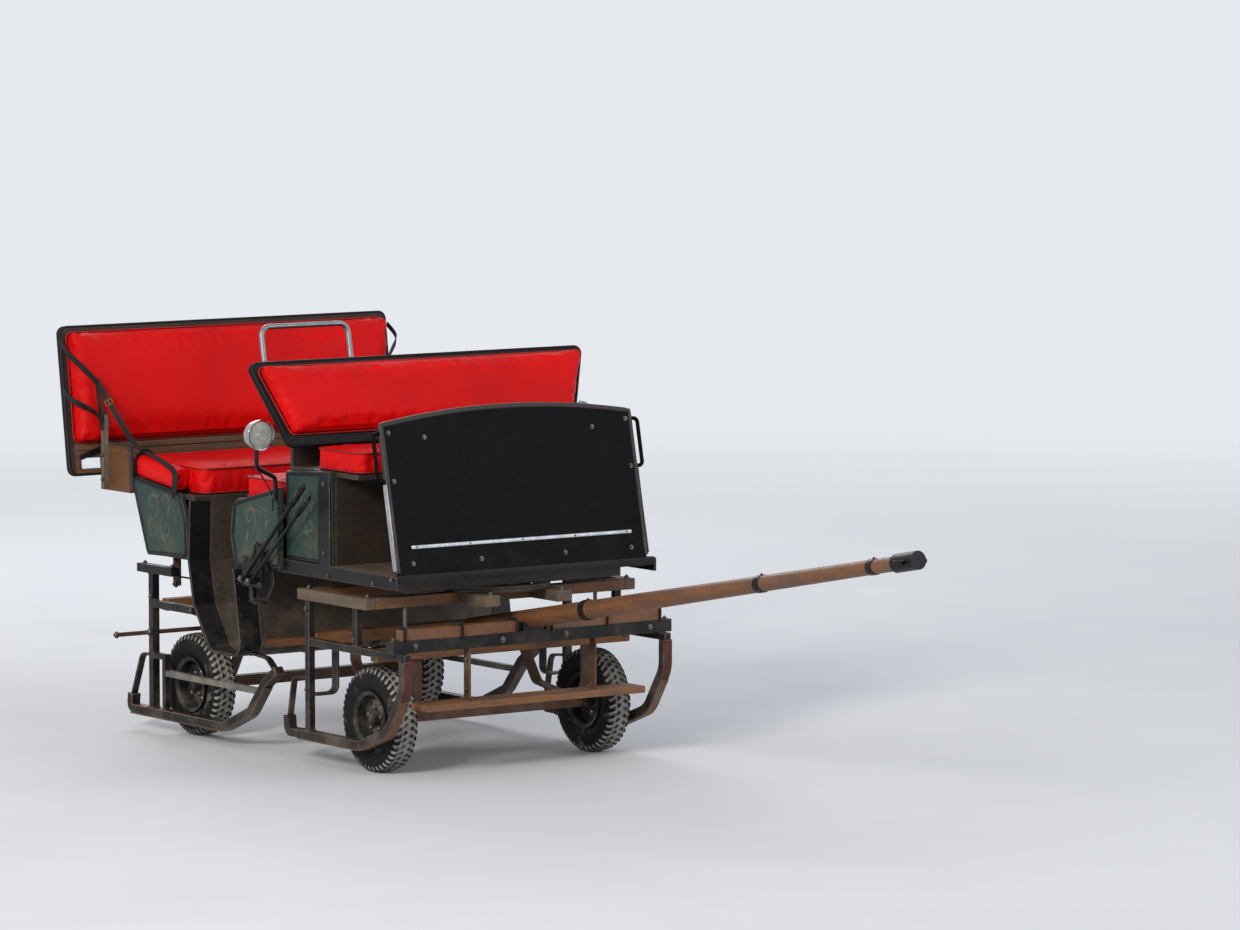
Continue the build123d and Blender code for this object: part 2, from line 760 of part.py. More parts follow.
def front_floor():
    floor = block((bench_rear_x, floor_front_x), (-front_half, front_half), (floor_low, floor_top))
    save("front_floor", floor)
    outer = front_half + sill_thickness
    sill = block((-655, floor_front_x), (front_half, outer), (floor_top - sill_height, floor_top))
    corner_x = driver_front_x - corner_post_width
    sill += block((corner_x, driver_front_x), (front_half, outer), (floor_top, driver_seat_top))
    save("sills", both_sides(sill))


def dash():
    """Leaning dash with an arched top edge, its strip and grab handles."""
    half = dash_half
    edges = [
        Line((0, -half, -8), (0, half, -8)),
        Line((0, half, -8), (0, half, dash_height)),
        ThreePointArc((0, half, dash_height), (0, 0, dash_height + dash_rise), (0, -half, dash_height)),
        Line((0, -half, dash_height), (0, -half, -8)),
    ]
    place = (dash_foot_x, floor_top, dash_lean)
    panel = leaning(extrude(make_face(edges), amount=dash_thickness, dir=(-1, 0, 0)), *place)
    panel -= block((0, dash_foot_x + dash_half), (-rear_half, rear_half), (0, floor_top))
    save("dash_panel", panel)
    save("dash_strip", leaning(block((0, 10), (-525, 525), (100, 116)), *place))
    middle = -dash_thickness / 2
    loop = [(middle, half, 370), (middle, half + 40, 370), (middle, half + 40, 560), (middle, half, 560)]
    save("dash_handles", both_sides(leaning(rod(loop, 8, 18), *place)))


def lamps():
    """Round lamps on bent brackets outboard of the bench panels."""
    bowl = revolve(make_face([
        Line((0, 0, 0), (0, 0, -85)),
        ThreePointArc((0, 0, -85), (48, 0, -55), (lamp_radius, 0, 0)),
        Line((lamp_radius, 0, 0), (0, 0, 0)),
    ]), axis=Axis.Z)
    bowl -= Pos(0, 0, -6) * Cylinder(lamp_radius - 4, 12)
    place = Pos(lamp_x, lamp_y, lamp_z) * Rot(0, 90, 0)
    bowl = place * bowl
    save("lamp_shells", both_sides(bowl))
    save("lamp_glasses", both_sides(place * Pos(0, 0, -8) * Cylinder(lamp_radius - 4 - seat_gap, 8)))
    foot_y = bench_y + 9 + seat_gap
    arm = rod([
        (lamp_x - 35, lamp_y, lamp_z - 40), (lamp_x - 35, lamp_y, lamp_z - 130),
        (bench_front_x - 18, foot_y, bench_top + 110), (bench_front_x - 18, foot_y, bench_top + 20),
    ], 9, 22)
    save("lamp_brackets", both_sides(arm - bowl))


def brake():
    """Hand lever and its second rod, pivoted on a plate by the doorway."""
    y = -(bench_y + 30)
    foot = body_bottom - 30
    lever = rod([(lever_x, y, foot), (lever_x + lever_run, y, foot + lever_rise)], 9)
    lever += rod([(lever_x + 55, y, foot - 5), (lever_x + 55 + lever_run - 11, y, foot + lever_rise - 40)], 7)
    lever += block((lever_x - 45, lever_x + 105), (-bench_y - 8, -bench_y), (foot - 33, foot + 85))
    for x, z in ((lever_x, foot), (lever_x + 55, foot - 5)):
        lever += cross_rod(x, z, (y - 12, -bench_y), 13)
    save("brake_lever", lever)


wheels()
axles()
runners_and_frames()
fore_carriage()
turntable()
splinter_bar()
swingletrees()
pole()
rear_bob()
footwell()
rear_box()
rear_sides()
rear_seat()
front_boxes()
front_panels()
front_seats()
front_floor()
dash()
lamps()
brake()
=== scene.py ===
import math
from types import SimpleNamespace

import bmesh
import bpy
import numpy as np
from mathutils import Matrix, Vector


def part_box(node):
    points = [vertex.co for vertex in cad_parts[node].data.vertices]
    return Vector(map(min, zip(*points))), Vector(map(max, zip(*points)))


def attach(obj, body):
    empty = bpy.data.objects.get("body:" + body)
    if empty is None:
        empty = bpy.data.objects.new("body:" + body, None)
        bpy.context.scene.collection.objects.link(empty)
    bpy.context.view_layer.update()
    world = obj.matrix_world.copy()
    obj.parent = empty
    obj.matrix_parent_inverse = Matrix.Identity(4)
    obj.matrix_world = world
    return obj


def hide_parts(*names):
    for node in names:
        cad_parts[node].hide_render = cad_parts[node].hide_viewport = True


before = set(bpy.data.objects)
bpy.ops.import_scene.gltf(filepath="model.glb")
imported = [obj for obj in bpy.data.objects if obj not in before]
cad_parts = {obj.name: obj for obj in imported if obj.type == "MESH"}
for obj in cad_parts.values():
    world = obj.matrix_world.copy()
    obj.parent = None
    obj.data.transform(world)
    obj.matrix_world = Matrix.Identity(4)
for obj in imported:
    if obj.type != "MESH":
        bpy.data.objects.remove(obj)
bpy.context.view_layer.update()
scene = bpy.context.scene
print("frame loaded:", len(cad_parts), "nodes")

# x is set out from the front axle, as a carriage builder would, and moved by axleX into the frame
tyreLow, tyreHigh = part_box("tyre_front_right")
axleX = (tyreLow.x + tyreHigh.x) / 2
sides = (("Right", "right", -1), ("Left", "left", 1))
ahead, across, up = (1, 0, 0), (0, 1, 0), (0, 0, 1)
back, outRight, down = (-1, 0, 0), (0, -1, 0), (0, 0, -1)
runnerY, trackY = 0.62, 0.51


# shapes: each is (points, faces), worked out as whole arrays

def at(x, y, z):
    return np.array([axleX + x, y, z], float)


def route(points):
    return np.array(points, float) + [axleX, 0, 0]


def alongY(y, points):
    return route([(x, y, z) for x, z in points])


def unit(vectors):
    vectors = np.array(vectors, float)
    return vectors / np.linalg.norm(vectors, axis=-1, keepdims=True)


def gridFaces(rows, columns, closeRows=False, closeColumns=False):
    # quads between neighbours of a grid; a closed direction wraps round
    i = np.arange(rows if closeRows else rows - 1)
    j = np.arange(columns if closeColumns else columns - 1)
    a, b = (part.ravel() for part in np.meshgrid(i, j, indexing="ij"))
    nextA, nextB = (a + 1) % rows * columns, (b + 1) % columns
    return np.stack([a * columns + b, nextA + b, nextA + nextB, a * columns + nextB], 1).tolist()


def joined(shapes):
    points, faces, start = [], [], 0
    for part, partFaces in shapes:
        points.append(part)
        faces += [[start + corner for corner in face] for face in partFaces]
        start += len(part)
    return np.concatenate(points), faces


def bothSides(shapes):
    # the shapes of the left side and their mirror images
    points, faces = joined(shapes)
    return [(points, faces), (points * [1, -1, 1], [face[::-1] for face in faces])]


def rounded(line, times=3):
    # corners cut at a quarter and three quarters of each run, again and again
    line = np.array(line, float)
    for _ in range(times):
        cut = np.stack([0.75 * line[:-1] + 0.25 * line[1:], 0.25 * line[:-1] + 0.75 * line[1:]], 1)
        line = np.concatenate([line[:1], cut.reshape(-1, line.shape[1]), line[-1:]])
    return line


def swept(line, profile, up=up, closed=False, grow=1.0):
    # profile (across, above) carried along the line, square to it: line + a * side + b * above
    line = np.array(line, float)
    run = np.roll(line, -1, 0) - np.roll(line, 1, 0)
    if not closed:
        run[0], run[-1] = line[1] - line[0], line[-1] - line[-2]
    run = unit(run)
    side = unit(np.cross(run, up))
    size = np.broadcast_to(grow, len(line))[:, None, None]
    a, b = np.array(profile, float).T[:, None, :, None]
    points = line[:, None] + size * (a * side[:, None] + b * np.cross(side, run)[:, None])
    count = len(profile)
    faces = gridFaces(len(line), count, closed, True)
    if not closed:
        faces += [list(range(count))[::-1], [(len(line) - 1) * count + k for k in range(count)]]
    return points.reshape(-1, 3), faces


def tube(line, radius, count=12, up=up, closed=False, grow=1.0):
    # a circle (radius * cos, radius * sin) carried along the line
    turn = np.linspace(0, 2 * math.pi, count, endpoint=False)
    return swept(line, radius * np.stack([np.cos(turn), np.sin(turn)], 1), up, closed, grow)


def turned(profile, centre, axis, count=24):
    # (radius, height) points carried round the axis through the centre
    axis = unit(axis)
    first = unit(np.cross(axis, up if abs(axis[2]) < 0.9 else ahead))
    turn = np.linspace(0, 2 * math.pi, count, endpoint=False)[:, None]
    ring = np.cos(turn) * first + np.sin(turn) * np.cross(axis, first)
    profile = np.array(profile, float)
    points = centre + profile[None, :, :1] * ring[:, None] + profile[None, :, 1:] * axis
    return points.reshape(-1, 3), gridFaces(count, len(profile), True, False)


def easedBlock(low, high, ease=0.003):
    # a small ball's eight parts pushed out to the corners of the box
    low, high = np.minimum(low, high), np.maximum(low, high)
    quarter = np.linspace(0, math.pi / 2, 3)
    lon = np.concatenate([quarter + k * math.pi / 2 for k in range(4)])
    lat = np.concatenate([quarter - math.pi / 2, quarter])
    level, round12 = np.ones(6), np.ones(12)
    ball = np.stack([np.outer(np.cos(lat), np.cos(lon)), np.outer(np.cos(lat), np.sin(lon)),
                     np.outer(np.sin(lat), round12)], 2)
    corner = np.stack([np.outer(level, np.repeat([1, -1, -1, 1], 3)),
                       np.outer(level, np.repeat([1, 1, -1, -1], 3)),
                       np.outer(np.repeat([-1, 1], 3), round12)], 2)
    points = ((low + high) / 2 + corner * ((high - low) / 2 - ease) + ease * ball).reshape(-1, 3)
    return points, gridFaces(6, 12, False, True) + [list(range(12))[::-1], list(range(60, 72))]


def blockAt(x, y, z, ease=0.003):
    return easedBlock(at(x[0], y[0], z[0]), at(x[1], y[1], z[1]), ease)


def bolt(centre, axis, size=0.008):
    # a washer, a hexagon head with a small crown, and the thread's end
    washer = np.array([(0, -0.3), (1.45, -0.3), (1.45, 0.18), (0, 0.18)])
    head = np.array([(0, 0.1), (1.02, 0.1), (1.06, 0.2), (1.06, 0.75), (0.9, 0.92), (0, 0.96)])
    stub = np.array([(0, 0.9), (0.5, 0.9), (0.5, 1.25), (0.42, 1.35), (0, 1.35)])
    return joined([turned(size * profile, centre, axis, count)
                   for profile, count in ((washer, 16), (head, 6), (stub, 10))])


def bolts(*rows):
    # each row is an axis, a size and the places of its bolts
    return [bolt(at(*place), axis, size) for axis, size, *places in rows for place in places]


def dome(centre, axis, radius):
    # a round-headed nail or rivet: a quarter ellipse carried round
    arc = [(math.cos(a), 0.6 * math.sin(a)) for a in np.linspace(0, math.pi / 2, 5)]
    return turned(radius * np.array([(0, -0.3), (1, -0.3)] + arc), centre, axis, 12)


def weldBead(start, end, radius=0.0035, up=up):
    # a bead whose thickness ripples along its length
    start, end = at(*start), at(*end)
    length = np.linalg.norm(end - start)
    share = np.linspace(0, 1, max(6, int(length / 0.002)))[:, None]
    ripple = 1 + 0.14 * np.sin(share[:, 0] * length / 0.0045 * 2 * math.pi)
    return tube(start * (1 - share) + end * share, radius, 8, up, False, ripple)


def beadAcross(x, y, z, half, radius=0.004):
    # a bead square to the sleigh's length
    return weldBead((x, y - half, z), (x, y + half, z), radius)


def weldRound(x, y, z, half):
    # beads round the foot of a square post
    corners = [(x + a * half, y + b * half, z) for a, b in ((-1, -1), (1, -1), (1, 1), (-1, 1))]
    return joined([weldBead(a, b) for a, b in zip(corners, corners[1:] + corners[:1])])


def bent(points, radius, steps=8):
    # corners of a run turned into arcs that touch both legs
    points = np.array(points, float)
    line = [points[:1]]
    for before, here, after in zip(points[:-2], points[1:-1], points[2:]):
        legIn, legOut = unit(before - here), unit(after - here)
        if legIn @ legOut < -0.9999:
            continue
        half = math.acos(np.clip(legIn @ legOut, -1, 1)) / 2
        reach = min(radius / math.tan(half), 0.48 * np.linalg.norm(before - here),
                    0.48 * np.linalg.norm(after - here))
        share = np.linspace(0, 1, steps)[:, None]
        centre = here + unit(legIn + legOut) * reach / math.cos(half)
        arm = (here + legIn * reach) * (1 - share) + (here + legOut * reach) * share - centre
        line.append(centre + unit(arm) * reach * math.tan(half))
    return np.concatenate(line + [points[-1:]])


def evenly(line, step, closed=False):
    # the same line with points at even steps
    if closed:
        line = np.concatenate([line, line[:1]])
    length = np.concatenate([[0], np.cumsum(np.linalg.norm(np.diff(line, axis=0), axis=1))])
    marks = np.linspace(0, length[-1], max(4, int(length[-1] / step) + 1))
    even = np.stack([np.interp(marks, length, line[:, k]) for k in range(3)], 1)
    return even[:-1] if closed else even


def looped(outline, radius, steps):
    # a closed outline opened at the middle of its last edge, its corners bent
    middle = (outline[-1:] + outline[:1]) / 2
    return bent(np.concatenate([middle, outline, middle]), radius, steps)[:-1]


def outOf(lean):
    # the way a face looks that leans back by so many degrees
    return np.array([math.cos(math.radians(lean)), 0, math.sin(math.radians(lean))])


def leaned(foot, lean):
    # a face that leans back: u across, v up along it, w out of it
    tilt = math.radians(lean)

    def put(points):
        u, v, w = np.array(points, float).reshape(-1, 3).T
        return np.stack([axleX + foot[0] - v * math.sin(tilt) + w * math.cos(tilt), u,
                         foot[1] + v * math.cos(tilt) + w * math.sin(tilt)], 1)

    return put


def leanedBlock(put, low, high, ease):
    # an eased block in a leaned face's own measures
    points, faces = easedBlock(np.array(low), np.array(high), ease)
    return put(points), faces


def plateOf(outline, low, high):
    # an outline in x and z, made as thick as from low to high in y
    count = len(outline)
    points = np.concatenate([alongY(low, outline), alongY(high, outline)])
    front = list(range(count))
    edges = [[k, (k + 1) % count, count + (k + 1) % count, count + k] for k in range(count)]
    return points, [front[::-1], [count + k for k in front]] + edges


def bar(half, thick, ease=0.3, drop=0.0):
    # a flat bar's section with eased corners: half width across, thickness above, let down by the drop
    cut = thick * ease
    section = [(-half, cut), (-half + cut, 0), (half - cut, 0), (half, cut), (half, thick - cut),
               (half - cut, thick), (-half + cut, thick), (-half, thick - cut)]
    return [(a, b - drop) for a, b in section]


def slab(half, low, high):
    # an oblong section, from low to high above the line
    return [(-half, low), (half, low), (half, high), (-half, high)]


# materials

def colour(text):
    # sRGB hex to the linear values that the shader takes
    value = np.array([int(text[k:k + 2], 16) for k in (0, 2, 4)]) / 255
    value = np.where(value <= 0.04045, value / 12.92, ((value + 0.055) / 1.055) ** 2.4)
    return (*value.tolist(), 1)


class Shade:
    # a material's node tree, with short names for the nodes in use
    def __init__(self, name, tree=None):
        if tree is None:
            self.material = bpy.data.materials.new(name)
            self.material.use_nodes = True
            tree = self.material.node_tree
            self.shader = tree.nodes["Principled BSDF"]
            self.place = tree.nodes.new("ShaderNodeTexCoord").outputs["Object"]
        self.tree = tree

    def feed(self, node, values):
        # each socket takes a link, a number or a colour, by its name or its number
        for key, value in values.items():
            value, socket = colour(value) if isinstance(value, str) else value, node.inputs[key]
            if isinstance(value, bpy.types.NodeSocket):
                self.tree.links.new(value, socket)
            else:
                socket.default_value = value
        return node

    def node(self, kind, values, **settings):
        node = self.tree.nodes.new("ShaderNode" + kind)
        for key, value in settings.items():
            setattr(node, key, value)
        return self.feed(node, values)

    def mix(self, amount, first, second):
        return self.node("Mix", {0: amount, 6: first, 7: second}, data_type="RGBA").outputs[2]

    def ranged(self, value, low, high, toLow=0.0, toHigh=1.0):
        values = dict(enumerate((value, low, high, toLow, toHigh)))
        return self.node("MapRange", values, interpolation_type="SMOOTHSTEP").outputs[0]

    def math(self, how, first, second):
        return self.node("Math", {0: first, 1: second}, operation=how).outputs[0]

    def times(self, first, second):
        return self.math("MULTIPLY", first, second)

    def noise(self, scale, detail=4.0, rough=0.55, twist=0.0, place=None):
        return self.node("TexNoise", dict(Vector=place or self.place, Scale=scale, Detail=detail,
                                          Roughness=rough, Distortion=twist)).outputs[0]

    def cloud(self, low, high, amount, *how):
        # noise cut to a soft patchwork, no stronger than the amount
        return self.ranged(self.noise(*how), low, high, 0.0, amount)

    def finish(self, base, rough, height, depth, strength=0.6, **others):
        bump = self.node("Bump", dict(Strength=strength, Distance=depth, Height=height)).outputs[0]
        self.feed(self.shader, {"Base Color": base, "Roughness": rough, "Normal": bump})
        self.feed(self.shader, {key.replace("_", " "): value for key, value in others.items()})
        return self.material


def weathered(name, look):
    # paint over metal or wood: two tones, dirt that settles low, chips down to the ground colour, orange peel
    s = Shade(name)
    broad, fine = s.noise(look.patch, 5.0), s.noise(look.fine, 6.0, 0.6)
    base = s.mix(s.ranged(broad, 0.35, 0.65), look.tone, look.tone2)
    base = s.mix(s.ranged(fine, 0.3, 0.7, 0.0, look.mottle), base, look.speck or look.tone2)
    height = s.node("SeparateXYZ", {0: s.place}).outputs["Z"]
    low = s.ranged(height, *look.dirtBand, 1.0, 0.0)
    dirt = s.times(s.ranged(s.noise(9.0, 6.0, 0.65), 0.42, 0.66), s.times(low, look.dirtAmount))
    base = s.mix(dirt, base, look.dirt)
    chips = s.ranged(s.noise(38.0, 9.0, 0.72, 0.4), look.chips, look.chips + 0.035)
    base = s.mix(chips, base, look.chip)
    rough = s.ranged(fine, 0.3, 0.75, *look.rough)
    rough = s.math("MAXIMUM", rough, s.times(s.math("ADD", chips, dirt), 0.8))
    lift = s.math("SUBTRACT", s.times(fine, look.peel), s.times(chips, 0.6))
    return s.finish(base, rough, lift, look.depth, Metallic=look.metal, Specular_IOR_Level=look.shine)


def grainy(name, look):
    # wood: noise stretched along the grain for bands, a finer one for fibres, darker checks and grime
    s = Shade(name)
    along = {"x": (1.0, 12.0, 12.0), "y": (12.0, 1.0, 12.0)}[look.grain]
    stretched = s.node("Mapping", dict(Vector=s.place, Scale=along)).outputs[0]
    fibres = s.noise(26.0, 5.0, 0.65, 0.0, stretched)
    base = s.mix(s.ranged(s.noise(2.6, 6.0, 0.6, 0.8, stretched), 0.3, 0.7), look.tone, look.tone2)
    base = s.mix(s.ranged(fibres, 0.38, 0.72, 0.0, 0.5), base, look.dark)
    checks = s.ranged(s.noise(9.0, 9.0, 0.75, 0.0, stretched), 0.63, 0.68)
    base = s.mix(s.times(checks, 0.8), base, look.check)
    base = s.mix(s.cloud(0.45, 0.72, look.grime, 6.0, 6.0, 0.6), base, look.dirt)
    lift = s.math("SUBTRACT", s.times(fibres, 0.7), s.times(checks, 0.9))
    return s.finish(base, s.ranged(fibres, 0.3, 0.7, *look.rough), lift, 0.0009)


def hide(name, look):
    # leathercloth: small cells for the grain, long soft creases, rubbed paler places
    s = Shade(name)
    cells = s.node("TexVoronoi", dict(Vector=s.place, Scale=look.cells), feature="DISTANCE_TO_EDGE")
    creases = s.noise(16.0, 7.0, 0.62, 1.2)
    base = s.mix(s.ranged(s.noise(3.2, 4.0), 0.32, 0.68), look.tone, look.tone2)
    base = s.mix(s.ranged(creases, 0.56, 0.74, 0.0, 0.4), base, look.worn)
    base = s.mix(s.cloud(0.6, 0.75, 0.3, 7.5, 8.0, 0.7), base, look.dirt)
    grain = s.ranged(cells.outputs["Distance"], 0.0, 0.12)
    lift = s.math("ADD", s.times(grain, 0.35), s.times(creases, 0.9))
    return s.finish(base, s.ranged(creases, 0.3, 0.7, *look.rough), lift, 0.0016, 0.5,
                    Specular_IOR_Level=look.shine)


def brightMetal(name, look):
    # plated or galvanised metal: faint cloudiness, fine scratches in the roughness and a few specks
    s = Shade(name)
    cloud = s.noise(20.0, 5.0)
    base = s.mix(s.ranged(cloud, 0.3, 0.7), look.tone, look.tone2)
    specks = s.ranged(s.noise(90.0, 8.0, 0.7), 0.66, 0.7)
    base = s.mix(s.times(specks, look.specks), base, look.speck)
    return s.finish(base, s.ranged(s.noise(160.0, 5.0), 0.3, 0.7, *look.rough), cloud, 0.0002, 0.3,
                    Metallic=look.metal)


def rubber(name, look):
    # tyre rubber: dark on the blocks, pale packed dust where the piece's groove attribute is high
    s = Shade(name)
    groove = s.node("Attribute", {}, attribute_name="groove").outputs["Fac"]
    dusty, fine = s.noise(34.0, 7.0, 0.7), s.noise(240.0, 4.0)
    base = s.mix(s.ranged(dusty, 0.35, 0.7), look.tone, look.tone2)
    base = s.mix(s.times(groove, s.ranged(dusty, 0.3, 0.5, 0.25, 1.0)), base, look.dust)
    base = s.mix(s.cloud(0.52, 0.7, 0.35, 14.0, 8.0, 0.7), base, look.dust)
    return s.finish(base, s.ranged(fine, 0.3, 0.7, *look.rough), fine, 0.0005, Specular_IOR_Level=0.25)


def clearGlass(name, look):
    # lens glass: a little frosted, with fine moulded ripples
    s = Shade(name)
    ripple = s.noise(130.0, 3.0)
    return s.finish(look.tone, s.ranged(ripple, 0.3, 0.7, *look.rough), ripple, 0.0004, 0.4,
                    Transmission_Weight=0.92, IOR=1.48)


# each finish has the two tones its patches mix, then what differs from its kind's usual values
paints = {
    "greenPaint": ("1c3a33", "162b27", dict(speck="2d4036", mottle=0.5, patch=4.0, chips=0.69, chip="4d4030",
                   dirt="55503f", dirtBand=(0.7, 1.15), dirtAmount=0.7, rough=(0.34, 0.52), shine=0.3)),
    "blackPaint": ("101012", "19191b", dict(chips=0.655, chip="4d3222", dirt="5b5147", dirtAmount=0.45,
                   rough=(0.34, 0.55), depth=0.0008, shine=0.22)),
    "greyedBar": ("5f5c58", "4b4743", dict(speck="8b857c", chips=0.62, chip="5a3b28", dirt="8a8276",
                  dirtAmount=0.7, rough=(0.45, 0.65), depth=0.0008)),
    "wornEdge": ("3a3531", "201e1d", dict(speck="5f554b", mottle=0.6, chips=0.56, chip="6d4930",
                 rough=(0.35, 0.5))),
    "greenEdge": ("16201c", "0f1513", dict(speck="3f463a", mottle=0.5, chips=0.6, chip="6b5b44",
                  rough=(0.35, 0.5))),
    "rustyIron": ("3d3029", "54392b", dict(speck="6f4630", mottle=0.6, patch=9.0, chips=0.6, chip="7a4527",
                  dirt="74685a", dirtAmount=0.5, rough=(0.5, 0.75), depth=0.0011, metal=0.15)),
    "darkIron": ("1d1a19", "2b221e", dict(speck="43302a", mottle=0.5, patch=9.0, chips=0.61, chip="63382a",
                 dirt="6e665e", dirtAmount=0.5, rough=(0.45, 0.68), depth=0.001, shine=0.3)),
    # the front runners' curve: red-brown iron on the faces across the bar, partly its own colour and partly
    # painted sunlight on the lit face
    "redIron": ("43201a", "2b1815", dict(speck="6b2f22", mottle=0.6, patch=9.0, chips=0.6, chip="7a3a28",
                dirt="6e665e", dirtAmount=0.3, rough=(0.45, 0.68), depth=0.001, shine=0.3)),
    "rustEdge": ("6a4a36", "4b382d", dict(speck="8b5c3c", mottle=0.6, chips=0.57, chip="2b2522",
                 rough=(0.45, 0.65), metal=0.2)),
    "glossBlack": ("060607", "09090a", dict(speck="0e0e0f", mottle=0.3, fine=25.0, chips=0.74, chip="1d1a18",
                   dirt="2a2622", dirtBand=(0.8, 0.98), dirtAmount=0.3, rough=(0.24, 0.36), peel=0.2,
                   depth=0.0004, shine=0.04)),
    "rimPaint": ("1d1c1d", "151516", dict(speck="3d3934", chips=0.63, chip="4b3226", dirt="6f675c",
                 dirtAmount=0.5, rough=(0.4, 0.6), shine=0.3)),
    "greasedSteel": ("1f1d1b", "2c2723", dict(speck="3c3027", chips=0.63, chip="4d3a2c",
                     rough=(0.25, 0.45), metal=0.3)),
    "panelScroll": ("5d4a3a", "4c4a3b", dict(speck="33544a", mottle=0.7, fine=45.0, chips=0.54,
                    chip="33544a", rough=(0.4, 0.55))),
    "dashEdging": ("1b1614", "261f1b", dict(speck="43362f", mottle=0.6, chips=0.64, chip="56423a",
                   dirt="574a40", dirtBand=(0.9, 1.3), rough=(0.4, 0.6))),
    "browned": ("322b25", "40372e", dict(speck="4f4538", mottle=0.6, patch=7.0, chips=0.6, chip="5f4931",
                dirt="6a5f4f", dirtBand=(0.35, 0.8), dirtAmount=0.8, rough=(0.5, 0.7), depth=0.001)),
}
paintBase = dict(patch=5.0, fine=60.0, mottle=0.35, speck="", dirtBand=(0.15, 0.95), dirtAmount=0.6,
                 dirt="6e6354", chip="5a3a24", peel=0.35, depth=0.0006, metal=0.0, shine=0.4)
woods = {
    "beamWoodY": ("8f6038", "74492a", dict(grain="y", dark="4a2f1c", check="261a12", grime=0.7)),
    "greyWoodX": ("6d5c49", "57493a", dict(grain="x", dark="3a3026", check="211a14", grime=0.6)),
    "poleWood": ("7d5230", "663f23", dict(grain="x", dark="402817", check="21160e", grime=0.5,
                 rough=(0.4, 0.6))),
    "darkWoodY": ("3a2d24", "2c231d", dict(grain="y", dark="1c1612", check="120e0b", grime=0.5)),
    "brownBoardY": ("6b4a2e", "573b26", dict(grain="y", dark="38271a", check="1f1610", grime=0.4)),
}
hides = {
    "redLeather": ("e00506", "cf0405", dict(worn="e41613", dirt="9a0808", shine=0.16, rough=(0.36, 0.55))),
    "redPiping": ("a80f10", "8f0c0d", dict(worn="c42a26", dirt="5e0c0c", rough=(0.4, 0.55), cells=520.0)),
    "blackLeather": ("101012", "171719", dict(worn="2b2a2a", dirt="2a2622", shine=0.25, rough=(0.42, 0.6),
                     cells=520.0)),
    "brownLeather": ("694222", "56351a", dict(worn="825a35", dirt="3a2819", rough=(0.42, 0.6), shine=0.3)),
    "edgeLeather": ("3a312c", "2c2522", dict(worn="534a43", dirt="211c1a", shine=0.3, rough=(0.45, 0.62))),
}
metals = {
    "chrome": ("b9bbbd", "a4a6a9", dict(rough=(0.06, 0.16), specks=0.3)),
    "dullSteel": ("8f9193", "7b7c7e", dict(rough=(0.32, 0.5), specks=0.6)),
    "boltZinc": ("77736c", "5d5750", dict(rough=(0.35, 0.55), specks=0.9, speck="5a3722")),
    "mirror": ("e0e0dc", "d2d3cf", dict(rough=(0.2, 0.34), specks=0.0, metal=0.6)),
    "stripMetal": ("a3a5a7", "8d8f92", dict(rough=(0.3, 0.44), specks=0.4)),
    "bulbWhite": ("ffffff", "f4f4f0", dict(rough=(0.3, 0.4), specks=0.0, metal=0.0)),
    "brass": ("a5834a", "8c6c3a", dict(rough=(0.25, 0.4), specks=0.4)),
}
rubbers = {"tyreRubber": ("0d0d0e", "171615", dict(dust="a39f99", rough=(0.6, 0.85)))}
glasses = {"lampGlass": ("f4f4f0", "f4f4f0", dict(rough=(0.2, 0.28)))}
stuff = {}
for make, looks, base in ((weathered, paints, paintBase),
                          (grainy, woods, dict(rough=(0.5, 0.75), dirt="4a4037")),
                          (hide, hides, dict(cells=420.0, shine=0.4)),
                          (brightMetal, metals, dict(speck="5c4434", metal=1.0)),
                          (rubber, rubbers, {}), (clearGlass, glasses, {})):
    for name, (tone, tone2, look) in looks.items():
        stuff[name] = make(name, SimpleNamespace(**{**base, "tone": tone, "tone2": tone2, **look}))
print("materials:", len(stuff))


# putting pieces in the scene

def linked(name, data):
    # an object at the origin, in the scene
    thing = bpy.data.objects.new(name, data)
    scene.collection.objects.link(thing)
    return thing


def rowsOf(elements, key="co"):
    flat = np.zeros(len(elements) * 3)
    elements.foreach_get(key, flat)
    return flat.reshape(-1, 3)


def settled(work, name):
    # the bmesh as a mesh of its own
    mesh = bpy.data.meshes.new(name)
    work.to_mesh(mesh)
    work.free()
    mesh.shade_smooth()
    return mesh


def shown(name, mesh, materials, body, slot, replaced=None):
    # a mesh with its materials as a piece of the sleigh
    mesh.materials.clear()
    for material in materials:
        mesh.materials.append(stuff[material])
    piece = linked(name, mesh)
    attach(piece, body)
    if replaced:
        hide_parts(replaced)
    return piece


def addPiece(name, shapes, material, slot="black_paint", body="body", replaced=None, sharp=38):
    points, faces = joined(shapes)
    rough = bpy.data.meshes.new(name + "Start")
    rough.from_pydata(points.tolist(), [], faces)
    work = bmesh.new()
    work.from_mesh(rough)
    bmesh.ops.remove_doubles(work, verts=work.verts, dist=2e-6)
    bmesh.ops.dissolve_degenerate(work, edges=work.edges, dist=1e-7)
    bmesh.ops.recalc_face_normals(work, faces=work.faces)
    mesh = settled(work, name)
    mesh.set_sharp_from_angle(angle=math.radians(sharp))
    shown(name, mesh, [material], body, slot, replaced)


def finished(node, material):
    # a CAD node that stays in view takes its finish in every material slot
    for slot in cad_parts[node].material_slots:
        slot.material = stuff[material]


